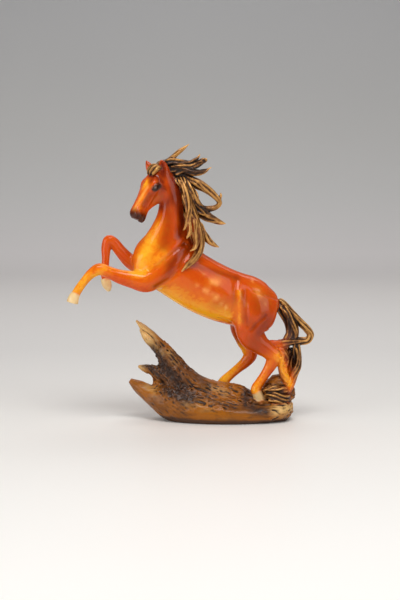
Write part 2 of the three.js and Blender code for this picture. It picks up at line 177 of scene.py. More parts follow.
@dataclass(frozen=True)
class Form:
    """A smooth free form along a line of rows [x, y, z, half thickness, half width]."""

    rows: Rows
    side: Array | None = None
    end_side: Array | None = None
    facets: int = 32
    rings: int = 6

    def frames(self, count: int) -> tuple[Array, Array, Array, Array]:
        """The line of the form, with its directions.

        Args:
            count: How many places to give along the line.

        Returns:
            The rows there, the heading, the direction of thickness and that of width.
        """
        table = np.array([row if len(row) == 5 else (*row, row[3]) for row in self.rows], float)
        line, heading = spline(table, count)
        side = BODY_SIDE if self.side is None else self.side
        end_side = side if self.end_side is None else self.end_side
        t = np.linspace(0, 1, count)[:, None]
        across = side * (1 - t) + end_side * t
        across = unit(across - heading * (across * heading).sum(1, keepdims=True))
        return line, heading, np.cross(across, heading), across

    def skin(self) -> Skin:
        """Makes the form's closed surface.

        Returns:
            Its rings, with more of them than it has rows.
        """
        line, _, upward, across = self.frames((len(self.rows) - 1) * self.rings + 1)
        return Skin.tube(line[:, :3], upward, across, np.maximum(line[:, 3:5], LEAST_GIRTH), self.facets)


def smooth_min(one: Array, other: Array, reach: float, far: float) -> Array:
    """Joins two signed distances with a soft fillet.

    Args:
        one: Distances to the first surface.
        other: Distances to the second surface.
        reach: How far from both surfaces the fillet starts.
        far: The clamped distance beyond which a value means nothing.

    Returns:
        Distances to the joined surface.
    """
    least = np.minimum(one, other)
    if reach <= 0:
        return least
    near = np.clip(reach - np.abs(one - other), 0, None) * ((one < far) & (other < far))
    return least - near * near / (4 * reach)


def read_between(values: Array, cell: Array, part: Array, number: type) -> Array:
    """Reads a lattice between its points; what lies beyond an end comes from the other end.

    Args:
        values: The lattice.
        cell: The lowest corner of the cell that each place is in.
        part: How far the place counts as being through the cell, from 0 to 1 on each axis.
        number: The type of number to add up in.

    Returns:
        The value at each place.
    """
    total = np.zeros(part.shape[:-1], number)
    for corner in range(8):
        step = np.array([(corner >> axis) & 1 for axis in range(3)])
        weight = np.prod(np.where(step, part, 1 - part), axis=-1)
        at = (cell + step) % values.shape
        total += weight * values[at[..., 0], at[..., 1], at[..., 2]]
    return total


class Volume:
    """A box of voxels round the figure, in squares of the grid, that holds signed distances."""

    def __init__(self, low: tuple[float, ...], high: tuple[float, ...], pitch: float, band: float) -> None:
        """Sizes the box.

        Args:
            low: Its lowest corner.
            high: Its highest corner.
            pitch: The size of a voxel.
            band: The furthest distance from a surface that is kept.
        """
        self.low = np.array(low)
        self.pitch = pitch
        self.band = band
        self.far = band * 0.999
        self.shape = tuple(int(n) + 1 for n in np.ceil((np.array(high) - self.low) / pitch))

    def blank(self) -> Array:
        """An empty field of distances."""
        return np.full(self.shape, self.band, np.float32)

    def places(self, window: tuple[slice, ...]) -> Array:
        """The places of the voxels in a window, in squares of the grid."""
        axes = [self.low[i] + self.pitch * np.arange(w.start, w.stop) for i, w in enumerate(window)]
        return np.stack(np.meshgrid(*axes, indexing="ij"), -1).astype(np.float32)

    def window(self, low: Array, high: Array) -> tuple[slice, ...]:
        """The voxels between two corners.

        Args:
            low: The lowest corner, in squares.
            high: The highest corner.

        Returns:
            A slice of the box for each axis.
        """
        first = np.clip(np.floor((np.array(low) - self.low) / self.pitch).astype(int), 0, self.shape)
        last = np.clip(np.ceil((np.array(high) - self.low) / self.pitch).astype(int) + 1, 0, self.shape)
        return tuple(slice(int(a), int(b)) for a, b in zip(first, last))

    def stamp(self, target: Array, skin: Skin, blend: float = 0.0) -> None:
        """Joins a closed surface into a field of distances.

        Args:
            target: The field, changed in place.
            skin: The surface, in squares.
            blend: The reach of the fillet where it joins.
        """
        transform = openvdb.createLinearTransform(voxelSize=self.pitch)
        grid = openvdb.FloatGrid.createLevelSetFromPolygons(
            np.ascontiguousarray(skin.points - self.low, np.float32),
            triangles=np.ascontiguousarray(skin.triangles, np.uint32),
            transform=transform, halfWidth=self.band / self.pitch)
        first, last = (np.array(corner) for corner in grid.evalActiveVoxelBoundingBox())
        block = np.full(tuple(last - first + 1), self.band, np.float32)
        grid.copyToArray(block, ijk=tuple(int(n) for n in first))
        begin = np.maximum(first, 0)
        end = np.minimum(last + 1, self.shape)
        into = tuple(slice(a, b) for a, b in zip(begin, end))
        out = tuple(slice(a - f, b - f) for a, b, f in zip(begin, end, first))
        target[into] = self.joined(target[into], block[out], blend)

    def add_forms(self, target: Array, shapes: tuple[Rows, ...], blend: float = 0.0,
                  side: Array | None = None, facets: int = 32) -> None:
        """Joins free forms into a field of distances.

        Args:
            target: The field, changed in place.
            shapes: The rows of each form.
            blend: The reach of the fillet where each joins.
            side: The level direction of the forms' width, if not the body's.
            facets: How many sides their rings have.
        """
        for rows in shapes:
            self.stamp(target, Form(rows, side=side, facets=facets).skin(), blend)

    def joined(self, one: Array, other: Array, blend: float) -> Array:
        """Joins two fields of distances with a fillet of a reach."""
        return smooth_min(one, other, blend, self.far)

    def hollowed(self, field: Array, hollows: Array, blend: float) -> Array:
        """Cuts one field of distances out of another, with edges softened by a reach."""
        return -smooth_min(-field, hollows, blend, self.far)

    def blurred(self, values: Array, times: int) -> Array:
        """Averages a field with its neighbours.

        Args:
            values: The field.
            times: How often.

        Returns:
            The smoother field.
        """
        out = values.copy()
        for _ in range(times):
            for axis in range(3):
                ahead = np.swapaxes(out, 0, axis)
                ahead[1:-1] = 0.5 * ahead[1:-1] + 0.25 * (ahead[:-2] + ahead[2:])
        return out

    def sample(self, values: Array, points: Array) -> Array:
        """Reads a field between its voxels.

        Args:
            values: The field.
            points: Places in squares.

        Returns:
            The field's value at each place.
        """
        place = (points - self.low) / self.pitch
        place = np.clip(place, 0, np.array(self.shape) - 1.001)
        cell = place.astype(int)
        return read_between(values, cell, place - cell, np.float64)

    def surface(self, values: Array) -> tuple[Array, Array]:
        """Finds the surface where a field is zero.

        Args:
            values: The field.

        Returns:
            The surface's points in squares, and its four-sided faces.
        """
        grid = openvdb.FloatGrid(self.band)
        grid.transform = openvdb.createLinearTransform(voxelSize=self.pitch)
        grid.copyFromArray(np.ascontiguousarray(values), ijk=(0, 0, 0), tolerance=0)
        points, quads = grid.convertToQuads(isovalue=0.0)
        return points + self.low, quads


class Noise:
    """Smooth random values on a lattice that repeats, seeded."""

    SIZE = 32

    def __init__(self, seed: int) -> None:
        """Fills the lattice from a seed."""
        self.lattice = np.random.default_rng(seed).uniform(-1, 1, (self.SIZE,) * 3).astype(np.float32)

    def __call__(self, points: Array) -> Array:
        """Reads the noise.

        Args:
            points: Places on the lattice.

        Returns:
            The value at each, between -1 and 1.
        """
        cell = np.floor(points).astype(int)
        t = points - cell
        return read_between(self.lattice, cell, t * t * (3 - 2 * t), np.float32)


def ease(value: Array, low: float, high: float) -> Array:
    """A smooth step from 0 at low to 1 at high."""
    t = np.clip((value - low) / (high - low), 0, 1)
    return t * t * (3 - 2 * t)


def distance_to_line(points: Array, line: Array) -> Array:
    """Measures from places to a line of straight stretches, in as many dimensions as they have.

    Args:
        points: The places.
        line: The corners of the line.

    Returns:
        The distance from each place to the line.
    """
    nearest = np.full(points.shape[:-1], 1e9, np.float32)
    for start, end in zip(line[:-1], line[1:]):
        along = end - start
        t = np.clip(((points - start) @ along) / max(float(along @ along), 1e-9), 0, 1)
        nearest = np.minimum(nearest, np.linalg.norm(points - start - t[..., None] * along, axis=-1))
    return nearest


@dataclass(frozen=True)
class Stroke:
    """A soft line drawn on both flanks as [x, z] points: a groove, or a ridge where its depth is negative."""

    line: Rows
    depth: float
    width: float
    fade: float = 5.0
    margin: float = 2.5
    half_depth: float = 60.0
    steps: int = 4

    def cut(self, volume: Volume, field: Array) -> None:
        """Carves the stroke into a field of distances, fading out towards the body's middle.

        Args:
            volume: The voxels that the field is in.
            field: The distances, changed in place.
        """
        line = np.array(self.line, float)
        level = np.column_stack((line[:, 0], np.zeros(len(line)), line[:, 1]))
        fine, _ = spline(level, self.steps * len(line))
        margin = self.margin * self.width
        low = (line[:, 0].min() - margin, -self.half_depth, line[:, 1].min() - margin)
        high = (line[:, 0].max() + margin, self.half_depth, line[:, 1].max() + margin)
        window = volume.window(np.array(low), np.array(high))
        places = volume.places(window)
        flat = places[:, 0][..., [0, 2]]
        away = distance_to_line(flat, fine[:, [0, 2]]) / self.width
        amount = self.depth * np.exp(-away * away)
        flank = ease(np.abs(places[..., 1] - Horse.midline(places[..., 0])), 0, self.fade)
        field[window] += (amount[:, None] * flank).astype(np.float32)


@dataclass(frozen=True)
class Limb:
    """A leg with its hoof, each a form."""

    leg: Rows
    hoof: Rows


@dataclass
class Horse:
    """The horse's body, as a figure that rears on its hind legs."""

    trunk: Rows = (
        (-87, -17.5, 161, 5, 5), (-80, -16, 160, 15, 13), (-68, -13.5, 158, 23, 18.5),
        (-54, -10.5, 152.5, 26, 20.5), (-38, -7, 144, 27.8, 21.5), (-22, -3.6, 134.5, 28, 22.5),
        (-6, -0.3, 126.8, 27.6, 22), (9, 3, 121.5, 26.8, 21), (24, 6, 117.6, 26, 20.5),
        (37, 8.8, 115, 21.5, 18), (46, 10.7, 113.8, 14, 12), (52, 12, 112, 4, 4),
    )
    neck: Rows = (
        (-54, -11, 159.6, 30, 17), (-57, -13, 175.8, 26, 15.5), (-56, -15, 192, 18.5, 13),
        (-54.3, -17, 208, 13.6, 11), (-54, -18.5, 222, 12.5, 10), (-57, -20, 234.5, 12.5, 9),
        (-62, -21, 243.5, 10, 8), (-68, -22, 248.5, 5, 6),
    )
    breast: Rows = (
        (-76, -16, 143, 6, 8), (-78, -16.5, 156, 14, 12), (-76, -16.5, 168, 15, 12.5),
        (-68.5, -16, 180, 12.4, 11.5), (-63, -16, 191, 10, 10), (-59.5, -16.5, 202, 6, 8),
    )
    muscles: tuple[Rows, ...] = (
        (
            (-86, -22, 146, 2, 2), (-84, -24, 154, 7, 5), (-79, -25, 164, 8, 5.5), (-73, -25, 175, 3, 2.5),
        ),
        (
            (-77, -28, 145, 4, 3), (-66, -27.5, 148, 9, 5.5), (-54, -25, 156, 8.5, 5.5),
            (-44, -21, 168, 6, 4), (-38, -18, 180, 1.5, 1.5),
        ),
        (
            (-72, -25, 157, 3, 3), (-62, -26, 163, 8, 5), (-52, -24, 172, 7.5, 4.5), (-44, -20, 184, 2, 2),
        ),
        (
            (-86, -10, 146, 2, 2), (-82, -6, 156, 7, 6), (-77, -5, 167, 7, 6), (-71, -6, 178, 2.5, 2.5),
        ),
        (
            (-78, 0, 148, 4, 3), (-67, 4.5, 154, 9, 5.5), (-54, 7, 164, 8, 5), (-44, 6, 178, 2, 2),
        ),
    )
    near_fore: Limb = Limb(
        leg=(
            (-60, -22, 156, 14, 8), (-69, -27, 147, 12.5, 8.5), (-79, -30, 141.5, 10.5, 8),
            (-91, -31, 143.6, 8.8, 7), (-104, -33, 146.8, 7, 6), (-115, -35, 151.5, 5.8, 5.3),
            (-123.5, -36.5, 154.3, 6, 5.4), (-131, -38, 150.5, 4.9, 4.4), (-138, -39, 143, 4.1, 3.7),
            (-143.5, -40, 135.5, 4.2, 3.8), (-146.5, -40.5, 130.5, 4.2, 4),
        ),
        hoof=(
            (-146, -40.5, 131.5, 4.2, 4.2), (-148.5, -40.8, 126.5, 5.4, 5.2), (-149.8, -41, 122, 5.8, 5.6),
        ),
    )
    far_fore: Limb = Limb(
        leg=(
            (-74, -4, 149, 11, 8), (-85, -5, 155, 9.5, 7.5), (-95, -6.5, 159.8, 7.4, 6.5),
            (-104.5, -8.5, 169.8, 6, 5.6), (-111, -10, 178, 5.6, 5.2), (-115.8, -11, 180.8, 5.4, 5.2),
            (-118.4, -11.5, 174, 4.9, 4.4), (-119, -12, 163.7, 3.9, 3.7), (-119.5, -12.5, 153.7, 3.7, 3.6),
            (-119.7, -13, 146.8, 4.2, 4), (-118.6, -13, 142, 4, 3.9),
        ),
        hoof=(
            (-120, -13, 143.5, 4.2, 4.2), (-118.3, -13, 138.5, 4.9, 4.8), (-116.8, -13, 134, 3.8, 4.4),
            (-115.8, -13, 130.5, 1.6, 2.5),
        ),
    )
    near_hind: Limb = Limb(
        leg=(
            (33, 0, 122.5, 19, 12), (30, -4, 108.9, 21, 13), (26, -5.5, 96, 18.5, 11.5),
            (26.5, -6, 85, 14.5, 9.5), (33, -6, 77, 10.5, 7.5), (42, -5.5, 70.5, 8.5, 6.3),
            (47.5, -5, 64.5, 8.2, 5.6), (45.5, -4.5, 57, 6.4, 4.8), (40, -4, 47.4, 4.9, 4.3),
            (34, -4.5, 38.4, 4.7, 4.3), (30, -5, 31.5, 5.2, 4.9), (30.5, -5.5, 27, 4.8, 4.8),
        ),
        hoof=(
            (30.5, -5.5, 28.5, 4.8, 4.8), (33.5, -6, 22, 5.4, 5.6), (35.5, -6.3, 17.5, 5.8, 6),
        ),
    )
    far_hind: Limb = Limb(
        leg=(
            (24, 15, 107, 18, 11), (19, 17, 91, 15, 10), (20, 18, 78.7, 10, 8), (23.5, 18.5, 69.7, 8, 6.5),
            (25, 18.5, 62.6, 7.3, 5.8), (21, 18.5, 56, 5.9, 4.8), (13, 18, 49, 4.7, 4.2),
            (4.5, 17.5, 41.8, 4.6, 4.2), (-2.5, 17, 34.8, 5.2, 4.8), (-5.5, 17, 30, 4.6, 4.6),
        ),
        hoof=(
            (-6.5, 17, 31, 4.8, 4.8), (-5, 16.5, 25, 5.6, 5.6), (-4, 16, 20, 6, 6),
        ),
    )
    strokes: tuple[Stroke, ...] = (
        Stroke(((-41, 178), (-48.4, 173.3), (-55.2, 168.1), (-63, 161.9), (-67.3, 158), (-75.1, 152.9)),
               1.3, 2.2),
        Stroke(((-37.7, 170), (-43.9, 158.7), (-48.4, 151.7), (-55.2, 144.6), (-69.1, 137.1)), 1.6, 2.6),
        Stroke(((9.6, 143), (8.4, 131.3), (7.5, 117.5), (3.6, 108.3)), 1.2, 3.0),
        Stroke(((12.4, 131), (13.4, 117.4), (13, 105), (13.5, 93)), -0.9, 2.6),
        Stroke(((18.9, 130.9), (20, 111.3), (21.1, 96.4)), 1.0, 2.2),
        Stroke(((39.3, 107), (31.9, 100.7), (24.4, 92.4)), 1.1, 1.9),
        Stroke(((-8, 104), (-2, 102.6), (5, 99)), 0.7, 1.2),
    )
    trunk_facets: int = 48
    neck_facets: int = 40
    trunk_blend: float = 6.0
    muscle_blend: float = 4.0
    limb_blend: float = 5.0

    @staticmethod
    def midline(x: Array) -> Array:
        """How far back the middle of the turned body lies at a place along it."""
        return 1.0 + math.tan(BODY_TURN) * x

    def limbs(self) -> tuple[Limb, ...]:
        """The four legs."""
        return self.near_fore, self.far_fore, self.near_hind, self.far_hind

    def body(self, volume: Volume) -> Array:
        """Models the trunk, neck and legs.

        Args:
            volume: The voxels to model in.

        Returns:
            The field of distances to the body, without its head and hooves.
        """
        field = volume.blank()
        volume.add_forms(field, (self.trunk,), facets=self.trunk_facets)
        neck = Form(self.neck, end_side=HEAD_SIDE, facets=self.neck_facets)
        volume.stamp(field, neck.skin(), self.trunk_blend)
        volume.add_forms(field, (self.breast, *self.muscles), self.muscle_blend)
        volume.add_forms(field, tuple(limb.leg for limb in self.limbs()), self.limb_blend)
        for stroke in self.strokes:
            stroke.cut(volume, field)
        return field

    def hooves(self, volume: Volume) -> Array:
        """Models the hooves.

        Args:
            volume: The voxels to model in.

        Returns:
            The field of distances to the four hooves.
        """
        field = volume.blank()
        volume.add_forms(field, tuple(limb.hoof for limb in self.limbs()))
        return field


@dataclass
class Head:
    """The head, in a frame of its own: down the face, out of it, and to the horse's right."""

    poll: tuple[float, float, float] = (-71, -23, 251.8)
    skull: Rows = (
        (-3, -9, 0, 6, 6), (4, -10.5, 0, 10.5, 8.8), (12, -10, 0, 11.5, 9.8), (20, -9.5, 0, 10.2, 8.6),
        (28, -9, 0, 9.2, 6.6), (36, -8.6, 0, 8.4, 5.3), (44, -8.8, 0, 7.9, 4.8), (49.5, -9.4, 0, 7.2, 5),
        (53, -10, 0, 4.2, 3.2),
    )
    chin: Rows = (
        (34, -14, 0, 2.5, 2.4), (42, -14.8, 0, 3, 3), (49, -15.6, 0, 3.4, 3.2), (52.4, -16, 0, 1.8, 1.8),
    )
    jowl: Rows = (
        (5, -17, 4, 5, 3.4), (11, -18.6, 4.6, 8, 4.6), (18, -18.6, 4.4, 7.4, 4.4), (26, -17.4, 3, 4.6, 3.2),
        (36, -14.6, 2, 2, 2),
    )
    brow: Rows = (
        (10, -3.5, 6.6, 1.6, 1.6), (14.5, -3.6, 8, 2.8, 2.2), (19, -4.2, 7.6, 2.6, 2.2),
        (24, -5.2, 6, 1.2, 1.2),
    )
    nostril: Rows = ((43, -5, 3, 1.2, 1.4), (48, -5, 3.8, 2.8, 2), (51.5, -6, 3.2, 1.6, 1.6))
    near_ear: Rows = (
        (-60.3, -23.5, 240, 3.6, 3), (-60.6, -25, 246, 4.9, 2.6), (-61.6, -26.2, 252, 4.7, 2.4),
        (-62.8, -26.6, 257, 3.2, 1.8), (-63.8, -26.5, 260, 0.6, 0.5),
    )
    ear_cup: Rows = (
        (-60.8, -28.6, 245, 1.2, 0.8), (-61.6, -29, 250, 2.7, 1.6), (-62.6, -29, 255, 1.9, 1.3),
        (-63.4, -28.4, 258, 0.6, 0.5),
    )
    far_ear: Rows = (
        (-72, -15.5, 245, 3.4, 3), (-74.3, -15, 250, 3.9, 2.4), (-76.6, -14.5, 255, 3, 1.9),
        (-78.6, -14, 259, 0.6, 0.6),
    )
    socket: Rows = ((23, -3.6, 7.6, 0.6, 0.6), (17.6, -6.8, 10.4, 3, 2.4), (12.6, -10, 9.8, 0.6, 0.6))
    eyeball: Rows = (
        (21, -5, 7.2, 0.4, 0.4), (19.4, -5.8, 7.5, 2.3, 2.1), (17.4, -6.9, 7.6, 2.9, 2.6),
        (15.5, -8, 7.5, 2.3, 2.1), (14, -8.8, 7.4, 0.4, 0.4),
    )
    upper_lid: Rows = (
        (22.6, -4, 7.4, 0.5, 0.5), (19.8, -3.6, 9.4, 0.9, 0.9), (16.6, -4.6, 10.6, 1.1, 1.1),
        (14, -7, 10.4, 0.9, 0.9), (12.6, -9.8, 9.6, 0.5, 0.5),
    )
    lower_lid: Rows = (
        (22.6, -4, 7.4, 0.5, 0.5), (21, -7, 8.2, 0.6, 0.6), (18.4, -9.2, 8.8, 0.7, 0.7),
        (15.4, -10.2, 9.2, 0.6, 0.6), (12.6, -9.8, 9.4, 0.5, 0.5),
    )
    nostril_hole: Rows = ((48, -5, 5.2, 0.5, 0.5), (50.2, -6.6, 4.8, 1.3, 1.3), (52.4, -8.2, 3.6, 0.7, 0.8))
    nostril_rim: Rows = (
        (46.6, -5.6, 5, 0.5, 0.5), (48.6, -4, 5, 0.8, 0.7), (51.4, -5, 4, 0.9, 0.8),
        (53.4, -7.6, 2.8, 0.6, 0.6),
    )
    nasal: Rows = (
        (18, -2.4, 5.4, 0.6, 0.6), (24, -2.5, 5.6, 1, 1), (32, -2.9, 4.7, 1, 1), (39, -2.7, 3.8, 1, 0.9),
        (45, -2.8, 3.3, 0.9, 0.8), (49, -3.8, 3, 0.5, 0.5),
    )
    crest: Rows = (
        (18, -10.4, 8.2, 0.6, 0.6), (24, -9.6, 6.8, 1, 1), (31, -10.4, 5.6, 1, 1), (36, -11, 4.6, 0.5, 0.5),
    )
    mouth: Rows = (
        (54.4, -12.2, 0.6, 0.5, 1), (52.6, -12.6, 3, 0.5, 0.8), (48.6, -12.8, 4.6, 0.45, 0.7),
        (44.4, -12.2, 5.2, 0.2, 0.3),
    )
    cheek: Rows = (
        (2, -9, 10, 0.5, 0.6), (8, -14, 10, 0.6, 1), (12, -20, 10, 0.7, 1.2), (19, -26, 8, 0.6, 1),
    )
    chin_blend: float = 1.8
    cheek_blend: float = 2.88
    ridge_blend: float = 2.34
    ear_blend: float = 1.0
    cut_edge: float = 1.2
    detail_blend: float = 0.5
    detail_facets: int = 16
    muzzle: tuple[float, float] = (43, 51.5)
    muzzle_dark: float = 0.95
    muzzle_width: float = 12
    muzzle_depth: float = 22
    chin_start: float = 5
    chin_depth: float = 8
    chin_slope: float = 0.5
    eye: tuple[float, float, float] = (17.6, -6.8, 9.5)
    eye_reach: tuple[float, float, float] = (6.4, 4.4, 5)
    eye_slant: tuple[float, float] = (-0.86, -0.51)
    eye_edge: tuple[float, float] = (0.45, 1.15)
    spark: tuple[float, float, float] = (18.3, -4.9, 9.7)
    spark_size: float = 1.6

    def axes(self) -> Array:
        """Finds the directions of the head's frame.

        Returns:
            The directions down the face, out of it, and to the right, one a row.
        """
        ahead = np.array((-math.cos(HEAD_TURN), -math.sin(HEAD_TURN), 0.0))
        up = np.array((0.0, 0.0, 1.0))
        down_face = ahead * math.cos(HEAD_NOD) - up * math.sin(HEAD_NOD)
        out_of_face = ahead * math.sin(HEAD_NOD) + up * math.cos(HEAD_NOD)
        return np.stack((down_face, out_of_face, HEAD_SIDE))

    def placed(self, rows: Rows, way: int = 1) -> Rows:
        """Puts rows in the head's frame on the figure.

        Args:
            rows: Rows [down the face, out of it, to the right, half thickness, half width].
            way: 1, or -1 for the same form on the left.

        Returns:
            The same rows in squares of the grid.
        """
        axes = self.axes()
        moved = []
        for down, out, right, thick, wide in rows:
            place = np.array(self.poll) + np.array((down, out, right * way)) @ axes
            moved.append((*place, thick, wide))
        return tuple(moved)

    def all_placed(self, way: int, *shapes: Rows) -> tuple[Rows, ...]:
        """Puts several forms of one side of the head on the figure."""
        return tuple(self.placed(rows, way) for rows in shapes)

    def tones(self, points: Array) -> tuple[Array, Array]:
        """Finds the dark muzzle and eyes, and the glint in each eye.

        Args:
            points: Places on the figure, in squares.

        Returns:
            How dark each place is, and how bright.
        """
        local = (points - np.array(self.poll)) @ self.axes().T
        # painted highlight: the muzzle's dark comes higher on its sides and underside than down the front of
        # the face
        under = np.clip(-local[:, 1] - self.chin_start, 0, self.chin_depth)
        down = local[:, 0] + self.chin_slope * under
        face = (np.abs(local[:, 2]) < self.muzzle_width) * (local[:, 1] > -self.muzzle_depth)
        dark = self.muzzle_dark * ease(down, *self.muzzle) * face
        glint = np.zeros(len(points))
        slant, reach = self.eye_slant, self.eye_reach
        for way in (-1, 1):
            side = np.array((1, 1, way))
            out = local - np.array(self.eye) * side
            long = (out[:, 0] * slant[0] + out[:, 1] * slant[1]) / reach[0]
            tall = (out[:, 0] * slant[1] - out[:, 1] * slant[0]) / reach[1]
            oval = long**2 + tall**2 + (out[:, 2] / reach[2]) ** 2
            dark = np.maximum(dark, 1 - ease(oval, *self.eye_edge))
            off = local - np.array(self.spark) * side
            glint = np.maximum(glint, np.exp(-(off**2).sum(1) / self.spark_size))
        return dark, glint

    def model(self, volume: Volume) -> Array:
        """Models the head, and cuts its mouth, nostrils, eye sockets and the cup of its near ear.

        Args:
            volume: The voxels to model in.

        Returns:
            The field of distances to the head.
        """
        field = volume.blank()
        volume.add_forms(field, (self.placed(self.skull),), 0.0, HEAD_SIDE)
        volume.add_forms(field, (self.placed(self.chin),), self.chin_blend, HEAD_SIDE)
        for way in (-1, 1):
            flesh = self.all_placed(way, self.jowl, self.brow, self.nostril)
            volume.add_forms(field, flesh, self.cheek_blend, HEAD_SIDE)
            ridges = self.all_placed(way, self.nasal, self.crest)
            volume.add_forms(field, ridges, self.ridge_blend, HEAD_SIDE)
        volume.add_forms(field, (self.near_ear, self.far_ear), self.ear_blend)
        hollows = volume.blank()
        for way in (-1, 1):
            cuts = self.all_placed(way, self.socket, self.nostril_hole, self.mouth, self.cheek)
            volume.add_forms(hollows, cuts, 0.0, HEAD_SIDE, self.detail_facets)
        volume.add_forms(hollows, (self.ear_cup,), 0.0, None, self.detail_facets)
        field = volume.hollowed(field, hollows, self.cut_edge)
        for way in (-1, 1):
            details = self.all_placed(way, self.eyeball, self.upper_lid, self.lower_lid, self.nostril_rim)
            volume.add_forms(field, details, self.detail_blend, HEAD_SIDE, self.detail_facets)
        return field


@dataclass(frozen=True)
class Lock:
    """A lock of hair, carved as a bundle of fine strands round a core."""

    rows: Rows
    turn: float = 1.4
    seed: int = 0
    strand: float = 1.3
    rings: int = 6
    core: float = 0.66
    core_taper: tuple[float, ...] = (0.4, 0.7, 0.9)
    core_facets: int = 10
    strand_facets: int = 8
    strand_spacing: float = 2.3
    thickest_strand: float = 0.36
    widest_strand: float = 0.5
    late_root: float = 0.1
    early_tip: float = 0.16
    root_taper: int = 4
    tip_taper: int = 5

    def skin(self) -> Skin:
        """Carves the lock.

        Returns:
            The closed surfaces of its core and its strands.
        """
        count = (len(self.rows) - 1) * self.rings + 1
        line, _, upward, across = Form(self.rows, side=DEPTHWAYS).frames(count)
        radius = np.maximum(line[:, 3], 0.3)
        t = np.linspace(0, 1, count)
        core = np.stack((radius, radius), 1) * self.core
        core[:len(self.core_taper)] *= np.array(self.core_taper)[:, None]
        skins = [Skin.tube(line[:, :3], upward, across, core, self.core_facets)]
        random = np.random.default_rng(self.seed)
        widest = float(radius.max())
        thick = min(self.strand, widest * self.thickest_strand)
        number = max(3, round(2 * math.pi * (widest - thick) / (self.strand_spacing * thick)))
        for k in range(number):
            around = 2 * math.pi * (k + random.uniform(-0.15, 0.15)) / number + self.turn * t
            sway = random.uniform(0.3, 0.7)
            waves = random.uniform(0.8, 1.8)
            angle = around + sway * np.sin(2 * math.pi * (waves * t + random.uniform(0, 1)))
            first = round(count * self.late_root * random.uniform(0, 1))
            last = round(count * (1 - self.early_tip * random.uniform(0, 1)))
            girth = np.minimum(thick * random.uniform(0.85, 1.2), radius * self.widest_strand)
            place = np.arange(count)
            ends = np.minimum((place - first + 1) / self.root_taper, (last - place) / self.tip_taper)
            girth = girth * np.clip(ends, 0.15, 1) ** 0.6
            reach = np.maximum(radius - girth * 0.95, 0) * np.clip(ends + 0.45, 0.4, 1)
            offset = upward * (np.cos(angle) * reach)[:, None] + across * (np.sin(angle) * reach)[:, None]
            span = slice(first, last)
            skins.append(Skin.tube((line[:, :3] + offset)[span], upward[span], across[span],
                                   np.stack((girth, girth), 1)[span], self.strand_facets))
        return Skin.joined(skins)


